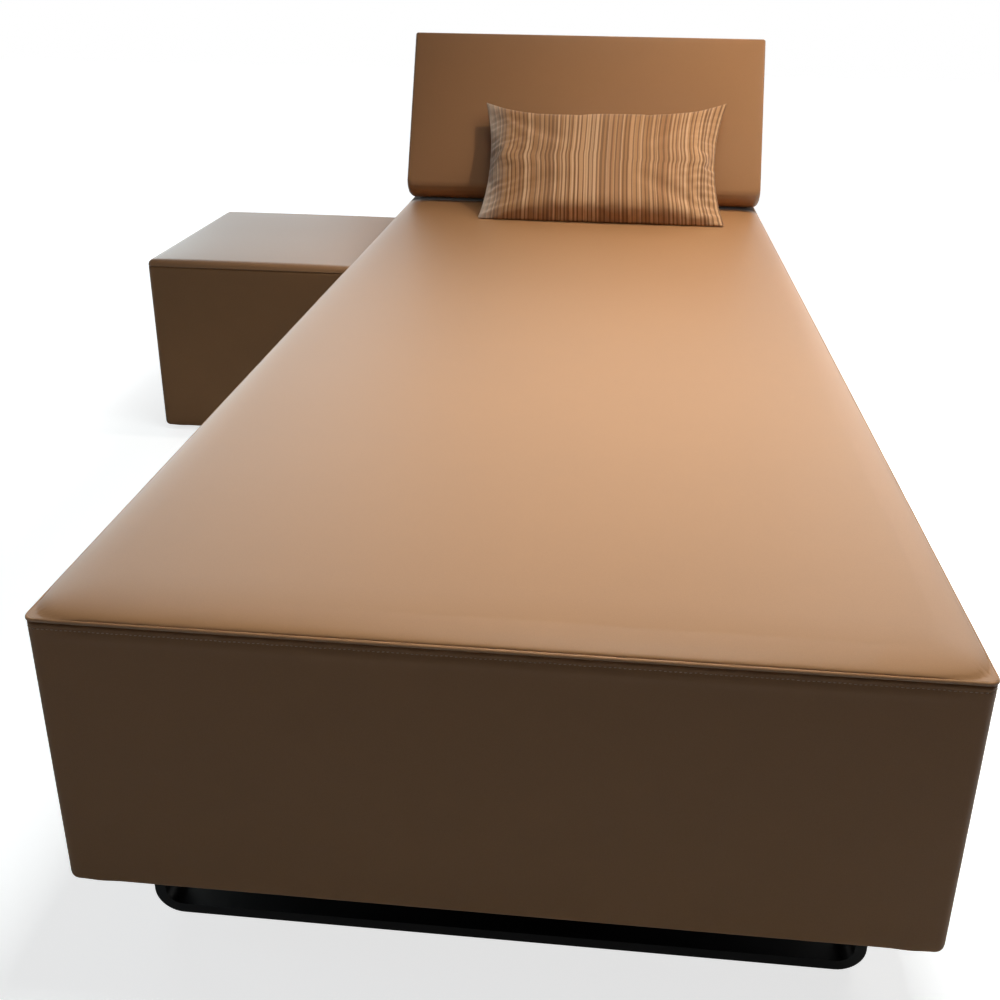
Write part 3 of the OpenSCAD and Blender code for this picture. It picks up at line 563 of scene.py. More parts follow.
def makeBorder(name, plan, lowZ, topZ, s, material):
    # A closed skin: hem, round edge and outer side up to the seam, then the inner side back down
    shares = planOutline(plan, s["spacing"])[2]
    base = planRing(plan, shares, 0.0, 0.0)
    along = lengthAlong(base[:, :2])
    toCorner = np.maximum(plan["halfW"] - np.abs(base[:, 0] - plan["midX"]),
                          plan["halfL"] - np.abs(base[:, 1] - plan["midY"]))
    calm = np.clip(toCorner / s["calmReach"], s["leastCalm"], 1)
    fold = s["foldDrop"] * np.exp(-((toCorner - s["foldReach"]) / s["foldWidth"]) ** 2)
    pull = sum(strength * np.sin(along / size + sway * np.sin(along / swaySize))
               for strength, size, sway, swaySize in s["gathers"])
    stitchZ = topZ - s["stitchDrop"]

    def outward(z):
        over = z - stitchZ
        lean = sum(depth * math.exp(-((over - height) / width) ** 2) for height, width, depth in s["swells"])
        lean -= s["tuckDepth"] * math.exp(-((z - topZ) / s["tuckWidth"]) ** 2)
        near = math.exp(-(abs(over) / s["puckerReach"]) ** s["puckerPower"])
        wave = waveField(s, along, np.full(len(along), z * s["waveStretch"]))
        fade = min(1.0, (z - lowZ) / s["waveFade"])
        return calm * (lean + s["pucker"] * near * pull + fade * wave)

    def ringOf(inset, z, shift=0.0, drop=0.0):
        ring = planRing(plan, shares, inset, z)
        ring[:, :2] += outOfPlan(plan, shares, inset) * np.reshape(shift, (-1, 1))
        ring[:, 2] -= drop
        return ring

    def roundEdge(step, wall):
        angle = math.pi / 2 * step / s["edgeSteps"]
        radius = s["edgeRadius"] - wall
        inset = s["inset"] + wall + radius * (1 - math.sin(angle))
        z = lowZ + wall + radius * (1 - math.cos(angle))
        return ringOf(inset, z, 0.0, fold * (1 - step / s["foldFade"]))

    hemInset = s["inset"] + s["edgeRadius"]
    rings = [ringOf(hemInset + s["hem"], lowZ), ringOf(hemInset + s["hemStep"], lowZ)]
    rings += [roundEdge(step, 0.0) for step in range(1, s["edgeSteps"] + 1)]
    sideZs = [*np.linspace(lowZ + s["edgeRadius"] + s["firstRing"], topZ - s["lastRing"], s["evenRings"]),
              *(topZ - drop for drop in s["topRings"])]
    for z in sideZs:
        drop = fold * max(0.0, s["foldRest"] - (z - lowZ) / s["foldHeight"])
        rings.append(ringOf(s["inset"], z, outward(z), drop))
    topInset = s["inset"] + s["topTuck"]
    rings += [ringOf(topInset, topZ), ringOf(topInset + s["thick"], topZ)]
    rings += [ringOf(s["inset"] + s["thick"], z, outward(z)) for z in reversed(sideZs[::s["innerEvery"]])]
    rings += [roundEdge(step, s["thick"]) for step in reversed(range(s["edgeSteps"]))]
    rings.append(ringOf(hemInset + s["hem"], lowZ + s["thick"]))
    faces = ringFaces(len(shares), len(rings), closed=True)
    seam = ringOf(s["inset"] - s["threadOut"], stitchZ, outward(stitchZ))
    return newPiece(name, np.concatenate(rings), faces, material), seam


def makeSeatBorder():
    lowZ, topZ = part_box("border_cover")[0].z, weltLine["z"] - borderSettings["topDrop"]
    piece, seam = makeBorder("seatBorder", bodyPlan, lowZ, topZ, borderSettings, sideLeather)
    standFor(piece, "lounger", "leather_side", "border_cover")
    return seam


seatSeam = makeSeatBorder()
print("seat border ready")


# Welt: a leather-wrapped cord round the top edge

weltSettings = {"spacing": 0.006, "sides": 14, "uneven": 0.035, "unevenSize": 0.02, "thin": 0.4,
                "wobble": 0.00015, "wobbleSize": 0.05, "seeds": (5.1, 8.9)}


def makeWelt():
    s = weltSettings
    shares = planOutline(bodyPlan, s["spacing"])[2]
    radius = weltLine["radius"]
    centre = planRing(bodyPlan, shares, radius, weltLine["z"])
    away = outOfPlan(bodyPlan, shares, radius)
    along = lengthAlong(centre[:, :2])
    thick = noiseField(along / s["unevenSize"], along * 0, s["seeds"][0]) - s["thin"]
    fat = radius * (1 + s["uneven"] * thick)
    lift = s["wobble"] * noiseField(along / s["wobbleSize"], along * 0, s["seeds"][1])
    rings = []
    for k in range(s["sides"]):
        angle = -2 * math.pi * k / s["sides"]
        ring = centre.copy()
        ring[:, :2] += away * (fat * math.cos(angle))[:, None]
        ring[:, 2] += fat * math.sin(angle) + lift
        rings.append(ring)
    faces = [face[::-1] for face in ringFaces(len(shares), len(rings), closed=True)]
    welt = newPiece("seatWelt", np.concatenate(rings), faces, weltLeather)
    standFor(welt, "lounger", "leather_welt", "top_welt")


makeWelt()
print("welt ready")


# Stitches: a row of thread beads along the seam

stitchSettings = {"Spacing": 0.0043, "Length": 0.0031, "Thread Radius": 0.00042, "Tilt": 0.10, "Seed": 4}
stitchInputs = {"Path": "Geometry", "Spacing": "Float", "Length": "Float", "Thread Radius": "Float",
                "Tilt": "Float", "Seed": "Int", "Material": "Material"}
tiltRange = (0.6, 1.4)
upward = (0.0, 0.0, 1.0)


def stitchBead(tree, given):
    # A small ball drawn out along X
    ball = nodeOutput(tree, "GeometryNodeMeshUVSphere", {"Segments": 6, "Rings": 5, "Radius": 1.0})
    size = nodeOutput(tree, "ShaderNodeCombineXYZ", {
        0: times(tree, given["Length"], 0.5), 1: given["Thread Radius"], 2: given["Thread Radius"]})
    return nodeOutput(tree, "GeometryNodeTransform", {"Geometry": ball, "Scale": size})


def stitchTree():
    tree = bpy.data.node_groups.new("stitchRow", "GeometryNodeTree")
    sockets = {}
    for label, kind in stitchInputs.items():
        socket = tree.interface.new_socket(label, in_out="INPUT", socket_type="NodeSocket" + kind)
        sockets[label] = socket.identifier
    tree.interface.new_socket("Row", in_out="OUTPUT", socket_type="NodeSocketGeometry")
    given = tree.nodes.new("NodeGroupInput").outputs
    leave = tree.nodes.new("NodeGroupOutput").inputs
    curve = nodeOutput(tree, "GeometryNodeMeshToCurve", {"Mesh": given["Path"]})
    spaced = nodeOutput(
        tree, "GeometryNodeResampleCurve", {"Curve": curve, "Length": given["Spacing"]}, mode="LENGTH")
    tangent = nodeOutput(tree, "GeometryNodeInputTangent")
    turned = nodeOutput(tree, "FunctionNodeAlignRotationToVector", {"Vector": tangent}, axis="X")
    upright = nodeOutput(tree, "FunctionNodeAlignRotationToVector", {
        "Rotation": turned, "Vector": upward}, axis="Y", pivot_axis="X")
    least, most = (times(tree, given["Tilt"], share) for share in tiltRange)
    chance = addNode(tree, "FunctionNodeRandomValue", {
        2: least, 3: most, "Seed": given["Seed"]}, data_type="FLOAT").outputs[1]
    lean = nodeOutput(tree, "FunctionNodeAxisAngleToRotation", {"Axis": upward, "Angle": chance})
    final = nodeOutput(tree, "FunctionNodeRotateRotation", {
        "Rotation": upright, "Rotate By": lean}, rotation_space="LOCAL")
    placed = nodeOutput(tree, "GeometryNodeInstanceOnPoints", {
        "Points": spaced, "Instance": stitchBead(tree, given), "Rotation": final})
    real = nodeOutput(tree, "GeometryNodeRealizeInstances", {0: placed})
    painted = nodeOutput(tree, "GeometryNodeSetMaterial", {"Geometry": real, "Material": given["Material"]})
    tree.links.new(painted, leave[0])
    return tree, sockets


def makeStitches():
    tree, sockets = stitchTree()
    seam = bpy.data.meshes.new("seam")
    count = len(seatSeam)
    seam.from_pydata(seatSeam.tolist(), [(i, (i + 1) % count) for i in range(count)], [])
    stitches = linkObject("seatStitches", seam)
    row = addModifier(stitches, "NODES", node_group=tree)
    for label, value in {**stitchSettings, "Material": threadFinish}.items():
        row[sockets[label]] = value
    bakeModifiers(stitches)
    mesh = stitches.data
    shadeSmooth(mesh)
    mesh.materials.clear()
    mesh.materials.append(threadFinish)
    mesh.polygons.foreach_set("material_index", [0] * len(mesh.polygons))
    standFor(stitches, "lounger", "leather_side")


makeStitches()
print("stitches ready")


# Backrest cushion: its own frame has x across, v up the backrest and w out of its front

backSettings = {
    "tilt": math.radians(25), "footInset": 0.0725, "footRise": 0.0145, "thick": 0.070, "length": 0.368,
    "spacing": 0.012, "edge": 0.006, "footCorner": 0.016, "leastFootCorner": 0.004, "leastTopCorner": 0.0015,
    # Degrees round the foot's half round at which the rings lie, and the one that the seam draws in
    "levels": (-90, -75, -58, -38, -15, 10, 30, 45, 52, 56, 60, 67, 75, 83, 90),
    "seamLevel": 56, "seam": 0.0008,
    "panelSlip": 0.0004, "panelDepth": 0.0022,  # the bottom lies just inside, so that the rear panel shows
    "faceInsets": (0.004, 0.010, 0.019, 0.032, 0.050, 0.075),
    "crown": 0.0042, "crownPowers": (7, 5), "wave": 0.0002, "waveSize": 0.11, "seed": 2.2,
}


def tiltedFrame(tilt, x, y, z):
    return Matrix.Translation((x, y, z)) @ Matrix.Rotation(math.pi / 2 - tilt, 4, "X")


backFrame = tiltedFrame(backSettings["tilt"], bodyPlan["midX"], weltHigh.y - backSettings["footInset"],
                        weltLine["z"] + backSettings["footRise"] + backSettings["thick"] / 2)


def makeBackCushion():
    s = backSettings
    r = s["thick"] / 2
    halfW = bodyPlan["halfW"]
    xs, ys, shares = outlineShares(2 * halfW, s["length"] + r, s["spacing"])

    def ringAt(w, inset, side):
        foot = math.sqrt(max(0.0, r * r - w * w))
        low, high = -foot + inset, s["length"] - side - inset
        footCorner = max(s["footCorner"] - inset, s["leastFootCorner"])
        topCorner = max(s["edge"] - inset, s["leastTopCorner"])
        flat = onOutline(shares, halfW - side - inset, (high - low) / 2, footCorner, topCorner)
        return level(flat + [0, (high + low) / 2], w)

    rings = [ringAt(-r, s["panelSlip"], s["edge"])]
    rings[0][:, 2] += s["panelDepth"]
    for angle in s["levels"]:
        w = r * math.sin(math.radians(angle))
        over = max(0.0, abs(w) - (r - s["edge"]))
        side = s["edge"] - math.sqrt(max(0.0, s["edge"] ** 2 - over ** 2))
        rings.append(ringAt(w, s["seam"] if angle == s["seamLevel"] else 0.0, side))

    def crownAt(x, v):
        share = crownShare(x / halfW, 2 * v / s["length"] - 1, *s["crownPowers"])
        return s["crown"] * share + waveField(s, x, v)

    for inset in s["faceInsets"]:
        ring = ringAt(r, inset, s["edge"])
        ring[:, 2] = r + crownAt(ring[:, 0], ring[:, 1])
        rings.append(ring)
    last = rings[-1]
    lowV, highV = last[:, 1].min(), last[:, 1].max()

    def inner(x, y):
        x = x * last[:, 0].max()
        v = (lowV + highV) / 2 + y * (highV - lowV) / 2
        return np.column_stack([x, v, r + crownAt(x, v)])

    cushion = crownedSolid("backCushion", xs, ys, rings, inner, topLeather)
    cushion.data.transform(backFrame)
    cushion.data.update()
    standFor(cushion, "backrest", "leather", "back_front_cover", "back_foam")


makeBackCushion()
print("back cushion ready")


# Side block

blockSettings = {
    "corner": 0.012, "spacing": 0.012, "crownRoom": 0.004, "crown": 0.0045, "crownPowers": (4, 4),
    "seamDrop": 0.0020, "seamRings": ((0.003, -0.016), (0.003, -0.001), (0.0012, 0.0003), (-0.0003, 0.0016)),
    "rollSteps": 7, "rollShare": 0.98, "faceInsets": (0.006, 0.014, 0.026, 0.042, 0.062, 0.085),
    "wave": 0.00025, "waveSize": 0.09, "seed": 6.6,
}
blockBorderSettings = {**borderSettings, "inset": 0.0, "swells": (), "stitchDrop": 0.004,
                       "pucker": 0.0002, "puckerReach": 0.006, "foldDrop": 0.0010}


def makeBlock():
    s = blockSettings
    low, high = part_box("block_border_cover")
    plan = planOf(low, high, s["corner"])
    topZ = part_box("block_top_cover")[1].z - s["crownRoom"]
    xs, ys, shares = planOutline(plan, s["spacing"])
    rings = [planRing(plan, shares, inset, high.z + rise) for inset, rise in s["seamRings"]]
    edge = topZ - high.z - s["seamDrop"]
    for step in range(s["rollSteps"]):
        angle = math.pi / 2 * step / (s["rollSteps"] - 1)
        inset = s["rollShare"] * edge * (1 - math.cos(angle))
        rings.append(planRing(plan, shares, inset, topZ - edge + edge * math.sin(angle)))

    def puff(x, y):
        across, along = (x - plan["midX"]) / plan["halfW"], (y - plan["midY"]) / plan["halfL"]
        share = crownShare(across, along, *s["crownPowers"])
        return s["crown"] * share + waveField(s, x, y) * np.sqrt(share)

    rollInset = s["rollShare"] * edge
    rings[-1][:, 2] += puff(rings[-1][:, 0], rings[-1][:, 1])
    for extra in s["faceInsets"]:
        ring = planRing(plan, shares, rollInset + extra, topZ)
        ring[:, 2] += puff(ring[:, 0], ring[:, 1])
        rings.append(ring)

    inner = planTop(plan, rollInset + s["faceInsets"][-1], lambda x, y: topZ + puff(x, y))
    top = crownedSolid("blockTop", xs, ys, rings, inner, topLeather)
    standFor(top, "side_block", "leather", "block_top_cover", "block_foam")
    border = makeBorder("blockBorder", plan, low.z, high.z, blockBorderSettings, sideLeather)[0]
    standFor(border, "side_block", "leather_side", "block_border_cover")


makeBlock()
print("side block ready")


# Pillow: two sewn sheets blown up by their fill, then leaned on the backrest

pillowSettings = {
    "flatW": 0.600, "flatL": 0.330, "bowW": 0.008, "bowL": 0.008, "cell": 0.0085, "startPuff": 0.004,
    "backShift": 0.37, "width": 0.5705, "height": 0.330, "front": 0.052, "back": 0.034, "smoothLevels": 1,
    # Drawn-in outline of the seam
    "drawSide": (0.020, 0.026), "drawTop": 0.035, "drawFoot": 0.001, "topPower": 2.4,
    "taper": 0.0038, "skewTop": 0.008, "earCurl": 0.016, "curlPowers": (6, 4), "seamCalm": 0.5,
    # Where it leans
    "tilt": math.radians(45.6), "shiftX": 0.050, "footFromHead": 0.278, "clear": 0.0006, "seatGap": seamGap,
    "backReach": -0.02,
}
clothSettings = {
    "quality": 7, "mass": 0.25, "tension_stiffness": 15.0, "compression_stiffness": 15.0,
    "shear_stiffness": 5.0, "bending_stiffness": 0.4, "air_damping": 4.0, "use_pressure": True,
    "uniform_pressure_force": 1.0, "use_pressure_volume": True, "target_volume": 0.0060,
}
clothFrames = 26
stripeTones = {
    "bands": ((0.0, (0.420, 0.200, 0.080)), (0.22, (0.565, 0.298, 0.138)), (0.45, (0.475, 0.234, 0.098)),
              (0.66, (0.625, 0.350, 0.172)), (0.84, (0.450, 0.217, 0.088))),
    "light": (0.76, 0.480, 0.275, 1), "rust": (0.36, 0.160, 0.070, 1), "line": (0.215, 0.100, 0.043, 1),
    # painted light: a pale grey that the front sheet fades to at its left seam, as if lit by the window on
    # the left
    "paintedLight": (0.66, 0.54, 0.44, 1),
}
stripeSettings = {
    "bands": (92.0, 0.7), "threads": (270.0, 0.9),  # stripes to a metre, and how uneven they are
    "wander": 0.0012, "wanderLook": (9.0, 1.0),
    "lightFrom": 0.62, "lightShare": 0.42, "rustFrom": 0.80, "rustShare": 0.5,
    # the last two values: how far from the left seam the painted light reaches, and how strong it is at the
    # seam
    "lineReach": 0.09, "lineSpread": 0.22, "lineShare": 0.85, "paintedLightReach": 0.07, "paintedLightShare": 0.62,
    "weave": 260.0, "weaveSway": 0.4, "weaveShade": (0.88, 0.24), "bump": 0.35, "height": 0.0004,
}


def stripeFabric():
    s, tones = stripeSettings, stripeTones
    material, tree, sockets, where = newMaterial(
        "stripeFabric", Roughness=0.8, Sheen_Weight=0.15, Sheen_Roughness=0.5)
    along = axesOf(tree, where["UV"])[0]
    wander = noiseNode(tree, where["UV"], *s["wanderLook"])
    across = plus(tree, along, times(tree, wander, s["wander"]))

    def stripes(density, uneven, feature="F1"):
        look = {"W": across, "Scale": density, "Randomness": uneven}
        return addNode(tree, "ShaderNodeTexVoronoi", look, voronoi_dimensions="1D", feature=feature).outputs

    def chances(density, uneven):
        return addNode(tree, "ShaderNodeSeparateColor", {0: stripes(density, uneven)["Color"]}).outputs

    def over(operation, value, limit, share):
        return times(tree, mathNode(tree, operation, value, limit), share)

    band = chances(*s["bands"])
    border = stripes(*s["bands"], "DISTANCE_TO_EDGE")["Distance"]
    thread = chances(*s["threads"])
    colour = ramp(tree, band[0], tones["bands"], "CONSTANT")
    reach = plus(tree, s["lineReach"], times(tree, band[1], s["lineSpread"]))
    shares = {
        "light": over("GREATER_THAN", thread[0], s["lightFrom"], s["lightShare"]),
        "rust": over("GREATER_THAN", thread[2], s["rustFrom"], s["rustShare"]),
        "line": over("LESS_THAN", border, reach, s["lineShare"]),
        # painted light: the front sheet turns pale grey towards its left seam
        "paintedLight": remap(tree, along, 0.0, s["paintedLightReach"], s["paintedLightShare"], 0.0, "SMOOTHSTEP"),
    }
    for name, share in shares.items():
        colour = blendColour(tree, share, colour, tones[name])
    threads = {"Vector": where["UV"], "Scale": s["weave"], "Distortion": s["weaveSway"]}
    weave = times(tree, *(addNode(tree, "ShaderNodeTexWave", threads, bands_direction=axis).outputs["Fac"]
                          for axis in "XY"))
    shade = plus(tree, s["weaveShade"][0], times(tree, weave, s["weaveShade"][1]))
    tone = nodeOutput(tree, "ShaderNodeHueSaturation", {"Value": shade, "Color": colour})
    feed(tree, sockets, Base_Color=tone, Normal=bumpNode(tree, s["bump"], s["height"], weave))
    return material


def flatPillow(s, material):
    # Two sheets sewn together all round, with the share across and along kept for each point
    nx, ny = round(s["flatW"] / s["cell"]), round(s["flatL"] / s["cell"])
    points, shares, number = [], [], {}
    for side in (1, -1):
        for j in range(ny + 1):
            for i in range(nx + 1):
                if side == -1 and (i in (0, nx) or j in (0, ny)):
                    number[side, i, j] = number[1, i, j]
                    continue
                u, v = 2 * i / nx - 1, 2 * j / ny - 1
                puff = side * s["startPuff"] * math.cos(math.pi / 2 * u) * math.cos(math.pi / 2 * v)
                halfW = s["flatW"] / 2 + s["bowW"] * (1 - v ** 2)
                halfL = s["flatL"] / 2 + s["bowL"] * (1 - u ** 2)
                number[side, i, j] = len(points)
                points.append((u * halfW, v * halfL, puff))
                shares.append((u, v))
    faces, uvs = [], []
    # The back sheet is cut from another stretch of cloth
    for side, shift in ((1, 0.0), (-1, s["backShift"])):
        for j in range(ny):
            for i in range(nx):
                spots = [(i, j), (i + 1, j), (i + 1, j + 1), (i, j + 1)]
                if side == -1:
                    spots.reverse()
                faces.append(tuple(number[side, a, b] for a, b in spots))
                uvs += [(a * s["flatW"] / nx + shift, b * s["flatL"] / ny) for a, b in spots]
    piece = newPiece("pillow", points, faces, material)
    layer = piece.data.uv_layers.new(name="UVMap")
    layer.data.foreach_set("uv", np.array(uvs).ravel())
    return piece, np.array(shares)


def meshPoints(piece):
    flat = np.empty(len(piece.data.vertices) * 3)
    piece.data.vertices.foreach_get("co", flat)
    return flat.reshape(-1, 3)


def setMeshPoints(piece, points):
    piece.data.vertices.foreach_set("co", np.asarray(points).ravel())
    piece.data.update()


def inflate(piece):
    cloth = addModifier(piece, "CLOTH")
    setAll(cloth.settings, clothSettings)
    cloth.settings.effector_weights.gravity = 0.0
    cloth.collision_settings.use_collision = False
    cloth.point_cache.frame_start = 1
    cloth.point_cache.frame_end = clothFrames
    for number in range(1, clothFrames + 1):
        scene.frame_set(number)
    bakeModifiers(piece)
    scene.frame_set(1)


def fitSeam(points, shares, s):
    # Shifts the whole form so that its seam follows the drawn-in outline, each inner point by its share
    u, v = shares[:, 0], shares[:, 1]
    halfW, halfL = s["width"] / 2, s["height"] / 2

    def target(u, v):
        drawX = np.where(u < 0, *s["drawSide"])
        drawY = np.where(v < 0, s["drawFoot"], s["drawTop"])
        wide = halfW + s["taper"] * v - drawX * (1 - v ** 2)
        high = v * (halfL - drawY * (1 - np.abs(u) ** s["topPower"])) + s["skewTop"] * u * (v + 1) / 2
        return np.stack([u * wide, high], -1)

    def sideShift(fixed, value, along):
        rim = shares[:, fixed] == value
        order = np.argsort(shares[rim, 1 - fixed])
        marks = shares[rim][order]
        moved = target(marks[:, 0], marks[:, 1]) - points[rim][order][:, :2]
        return np.stack([np.interp(along, marks[:, 1 - fixed], moved[:, k]) for k in (0, 1)], -1)

    shareU, shareV = ((u + 1) / 2)[:, None], ((v + 1) / 2)[:, None]
    left, right = sideShift(0, -1, v), sideShift(0, 1, v)
    low, high = sideShift(1, -1, u), sideShift(1, 1, u)
    ends = [sideShift(0, a, np.full(1, b)) for a, b in ((-1, -1), (1, -1), (-1, 1), (1, 1))]
    corners = ((1 - shareU) * (1 - shareV) * ends[0] + shareU * (1 - shareV) * ends[1]
               + (1 - shareU) * shareV * ends[2] + shareU * shareV * ends[3])
    points[:, :2] += (1 - shareU) * left + shareU * right + (1 - shareV) * low + shareV * high - corners
    rim = np.maximum(np.abs(u), np.abs(v)) == 1
    points[:, 2] -= np.mean(points[rim, 2])
    points[rim, 2] *= s["seamCalm"]
    acrossPower, upPower = s["curlPowers"]
    points[:, 2] += s["earCurl"] * np.abs(u) ** acrossPower * np.clip(v, 0, 1) ** upPower
    return points


gatherSettings = {
    "depth": 0.0105, "reach": 0.038, "start": 0.006, "step": 0.019, "slant": 0.25,
    "wander": 0.004, "wanderAlong": 0.03, "wanderIn": 0.02,
    "mean": 0.55, "swing": 0.9, "swingSize": 0.045, "evenness": (0.1, 1.3),
    "low": 0.75, "slope": 0.5, "lowRange": (0.2, 1.2), "leastPuff": 0.45, "seeds": (4.4, 7.7),
}


def gatherSeams(points):
    # Short creases where the two ends are sewn up, deeper towards the foot
    s = gatherSettings
    halfW, halfL = pillowSettings["width"] / 2, pillowSettings["height"] / 2
    along = points[:, 1]
    for side, draw in zip((-1, 1), pillowSettings["drawSide"]):
        seam = halfW - draw * (1 - (along / halfL) ** 2)
        off = np.maximum(seam - side * points[:, 0], 0)
        wander = s["wander"] * noiseField(along / s["wanderAlong"], off / s["wanderIn"], s["seeds"][0] + side)
        crease = np.sin(2 * math.pi * (along + wander + s["slant"] * off * side) / s["step"])
        depth = s["depth"] * np.exp(-off / s["reach"]) * np.clip(off / s["start"], 0, 1)
        chance = noiseField(along / s["swingSize"], np.full(len(points), 2.0 * side), s["seeds"][1])
        uneven = np.clip(s["mean"] + s["swing"] * chance, *s["evenness"])
        deeper = np.clip(s["low"] - along / halfL * s["slope"], *s["lowRange"])
        dent = depth * uneven * deeper * (1 + crease) / 2
        high = np.abs(points[:, 2])
        points[:, 2] = np.sign(points[:, 2]) * np.maximum(high - dent, s["leastPuff"] * high)
    return points


def leanPillow(points, s):
    # Stands the pillow on the seat, and flattens it where it meets the seat and the backrest
    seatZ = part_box("top_cover")[1].z + s["seatGap"]
    pillowFrame = tiltedFrame(
        s["tilt"], bodyPlan["midX"] + s["shiftX"],
        weltHigh.y - s["footFromHead"] + s["height"] / 2 * math.sin(s["tilt"]),
        seatZ + s["height"] / 2 * math.cos(s["tilt"]))
    world = points @ np.array(pillowFrame.to_3x3()).T + np.array(pillowFrame.translation)
    world[:, 2] = np.maximum(world[:, 2], seatZ)
    turn, origin = np.array(backFrame.to_3x3()), np.array(backFrame.translation)
    inBack = (world - origin) @ turn
    touching = inBack[:, 1] > s["backReach"]
    face = backSettings["thick"] / 2 + backSettings["crown"] + s["clear"]
    inBack[touching, 2] = np.maximum(inBack[touching, 2], face)
    return inBack @ turn.T + origin


def makePillow():
    s = pillowSettings
    pillow, shares = flatPillow(s, stripeFabric())
    inflate(pillow)
    points = fitSeam(meshPoints(pillow), shares, s)
    front = points[:, 2] > 0
    points[front, 2] *= s["front"] / points[:, 2].max()
    points[~front, 2] *= s["back"] / -points[:, 2].min()
    setMeshPoints(pillow, points)
    addModifier(pillow, "SUBSURF", levels=s["smoothLevels"], render_levels=s["smoothLevels"])
    bakeModifiers(pillow)
    setMeshPoints(pillow, leanPillow(gatherSeams(meshPoints(pillow)), s))
    shadeSmooth(pillow.data)
    standFor(pillow, "pillow", "stripes", "pillow_cover", "pillow_fill")


makePillow()
print("pillow ready")


# Steel pieces with their edges broken

steelSettings = {
    "mergeGap": 0.00002, "flatAngle": math.radians(1.5), "edgeAngle": math.radians(38),
    "sharpAngle": math.radians(20), "edgeSteps": 2, "barEdge": 0.0012, "plateEdge": 0.0006,
}
steelPieces = (  # node, how far its edges are broken, body
    ("front_sled_loop", "barEdge", "lounger"), ("rear_sled_loop", "barEdge", "lounger"),
    ("back_carrier", "plateEdge", "lounger"),
    ("left_back_leaf", "plateEdge", "backrest"), ("right_back_leaf", "plateEdge", "backrest"),
)


def easeEdges(nodeName, edge, body):
    s = steelSettings
    piece = linkObject("eased_" + nodeName, frame["nodes"][nodeName].data.copy())
    addModifier(piece, "WELD", merge_threshold=s["mergeGap"])
    addModifier(piece, "DECIMATE", decimate_type="DISSOLVE", angle_limit=s["flatAngle"])
    addModifier(piece, "BEVEL", width=s[edge], segments=s["edgeSteps"], limit_method="ANGLE",
                angle_limit=s["edgeAngle"])
    bakeModifiers(piece)
    shadeSmooth(piece.data)
    piece.data.set_sharp_from_angle(angle=s["sharpAngle"])
    standFor(piece, body, "steel", nodeName)


for row in steelPieces:
    easeEdges(*row)
print("steel ready")


# Floor, world and lamps

studio = {
    "floorHalf": 9.0, "floorColour": (0.62, 0.62, 0.61), "floorShade": 0.98, "cloudScale": 3.0,
    "cloudRange": (0.3, 0.7), "floorGlow": 0.74, "whiteReach": 0.35, "mirrorGlow": 0.06, "mirrorReach": 0.85,
    "ambient": 0.015, "glossFront": 0.20, "glossBack": 1.12, "glossRange": (0.40, 0.85),
    "darkSide": (0.14, 0.30), "darkTop": (0.19, 0.31),
}
lampSettings = (
    # name, place, aim, width, length, watts, colour, spread in degrees, mirrored in gloss
    ("overFoot", (0.42, -0.45, 2.35), (0.42, -0.45, 0.4), 0.6, 0.9, 9.0, (0.93, 0.99, 1.0), 70, False),
    ("overHead", (0.42, 0.55, 2.35), (0.42, 0.55, 0.4), 0.6, 0.9, 1.0, (0.97, 1.0, 0.99), 70, False),
    ("ceilingSpot", (0.95, 0.55, 2.40), (0.60, 0.72, 0.55), 0.06, 0.06, 3.9, (1.0, 0.93, 0.84), 72, False),
    ("rightKey", (1.20, 0.40, 1.20), (0.55, 0.72, 0.62), 0.35, 0.35, 2.2, (1.0, 0.93, 0.84), 180, False),
    ("leftFront", (-2.2, -1.4, 1.5), (-0.2, 0.2, 0.35), 1.2, 1.2, 3.6, (0.45, 0.75, 1.0), 180, False),
    ("rightHigh", (1.50, -0.20, 1.90), (0.45, 0.40, 0.50), 0.5, 0.5, 4.0, (0.97, 1.0, 0.99), 140, False),
    ("window", (-1.7, 2.3, 1.45), (-0.1, -0.2, 0.4), 2.2, 1.7, 7.2, (0.75, 0.94, 1.0), 180, True),
    ("windowLow", (-2.2, 2.2, 0.8), (-0.4, 0.5, 0.4), 1.6, 0.9, 6.0, (0.75, 0.94, 1.0), 180, True),
    ("rightRear", (1.9, 2.0, 1.5), (0.5, 0.0, 0.4), 1.5, 1.5, 5.2, (0.97, 1.0, 0.99), 180, True),
)


def rayKinds(tree):
    # Seen straight by the camera, and seen in gloss or through glass
    rays = addNode(tree, "ShaderNodeLightPath").outputs
    mirrored = mathNode(tree, "MAXIMUM", rays["Is Glossy Ray"], rays["Is Transmission Ray"])
    return rays["Is Camera Ray"], mirrored


def makeFloor():
    s = studio
    material, tree, shader, where = newMaterial("paleFloor", Roughness=0.85, Emission_Color=(1, 1, 1, 1))
    cloud = nodeOutput(tree, "ShaderNodeTexNoise", {"Vector": where["Object"], "Scale": s["cloudScale"]})
    tones = tuple(part * s["floorShade"] for part in s["floorColour"]), s["floorColour"]
    colour = ramp(tree, cloud, list(zip(s["cloudRange"], tones)))
    seen, mirrored = rayKinds(tree)
    beyond = [mathNode(tree, "SUBTRACT", mathNode(tree, "ABSOLUTE", part), limit)
              for part, limit in zip(axesOf(tree, where["Object"])[:2], cadBounds[1])]
    away = mathNode(tree, "MAXIMUM", *beyond)

    def glow(reach, least, rays):
        return times(tree, remap(tree, away, 0.0, reach, least, 1.0, "SMOOTHSTEP"), rays)

    glows = glow(s["whiteReach"], s["floorGlow"], seen), glow(s["mirrorReach"], s["mirrorGlow"], mirrored)
    feed(tree, shader, Base_Color=colour, Emission_Strength=plus(tree, *glows))
    half = s["floorHalf"]
    corners = [(-half, -half, 0), (half, -half, 0), (half, half, 0), (-half, half, 0)]
    newPiece("floor", corners, [(0, 1, 2, 3)], material)


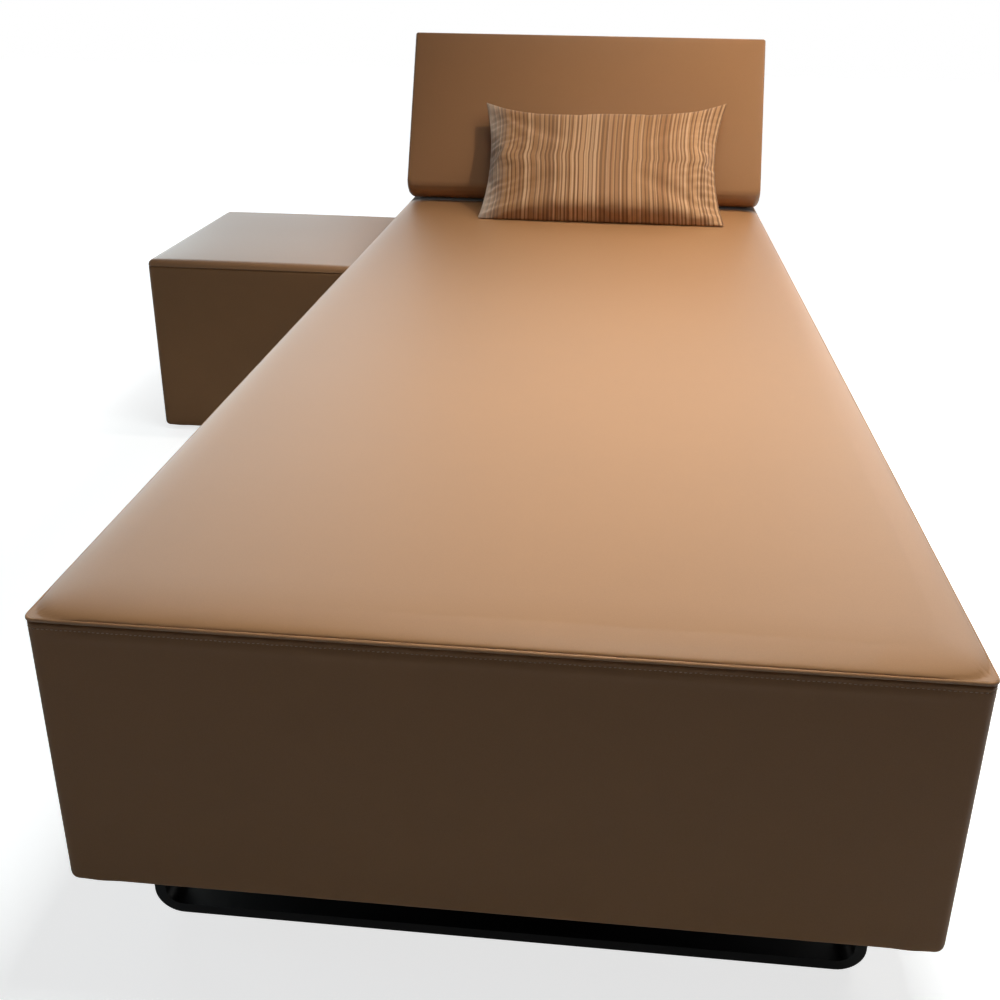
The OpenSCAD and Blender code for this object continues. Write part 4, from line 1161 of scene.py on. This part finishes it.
def makeWorld():
    # Gloss shows a world that is light behind the head end, but for a dark strip low behind it,
    # so that the slit under the backrest stays dark
    s = studio
    world = bpy.data.worlds.new("studioWorld")
    scene.world = world
    world.use_nodes = True
    tree = world.node_tree
    light = tree.nodes["Background"].inputs
    light["Color"].default_value = (1, 1, 1, 1)
    parts = axesOf(tree, addNode(tree, "ShaderNodeTexCoord").outputs["Generated"])
    shine = remap(tree, parts[1], *s["glossRange"], s["glossFront"], s["glossBack"])
    beside = remap(tree, mathNode(tree, "ABSOLUTE", parts[0]), *s["darkSide"])
    above = remap(tree, parts[2], *s["darkTop"])
    shone = times(tree, shine, mathNode(tree, "MAXIMUM", beside, above))
    seen, mirrored = rayKinds(tree)
    strength = nodeOutput(tree, "ShaderNodeMix", {0: mirrored, 2: s["ambient"], 3: shone}, data_type="FLOAT")
    final = nodeOutput(tree, "ShaderNodeMix", {0: seen, 2: strength, 3: 1.0}, data_type="FLOAT")
    feed(tree, light, Strength=final)


def makeLamps():
    for name, place, aim, width, length, watts, colour, spread, mirrored in lampSettings:
        lamp = bpy.data.lights.new(name, "AREA")
        lamp.shape = "RECTANGLE"
        lamp.size, lamp.size_y = width, length
        lamp.energy = watts
        lamp.spread = math.radians(spread)
        lamp.color = colour
        holder = linkObject(name, lamp)
        holder.location = place
        holder.rotation_euler = (Vector(aim) - Vector(place)).to_track_quat("-Z", "Y").to_euler()
        holder.visible_camera = False
        holder.visible_glossy = mirrored


# Camera, fitted to the body's edges, its sled loop and the side block

cameraPlace = (0.3230, -1.7452, 0.9771)
cameraTurns = {"right": -4.847, "down": 20.431, "roll": -0.872}  # degrees
lensSettings = {"lens": 37.928, "sensor_width": 36.0, "sensor_fit": "HORIZONTAL",
                "shift_x": -0.0272, "shift_y": -0.1412, "clip_end": 60}


def makeCamera():
    right, down, roll = (math.radians(turn) for turn in cameraTurns.values())
    lens = bpy.data.cameras.new("photoView")
    setAll(lens, lensSettings)
    scene.camera = linkObject("photoView", lens)
    scene.camera.matrix_world = (
        Matrix.Translation(cameraPlace) @ Matrix.Rotation(-right, 4, "Z")
        @ Matrix.Rotation(math.pi / 2 - down, 4, "X") @ Matrix.Rotation(-roll, 4, "Z"))


makeFloor()
makeWorld()
makeLamps()
makeCamera()
scene.view_settings.view_transform = "Standard"
print("studio ready")
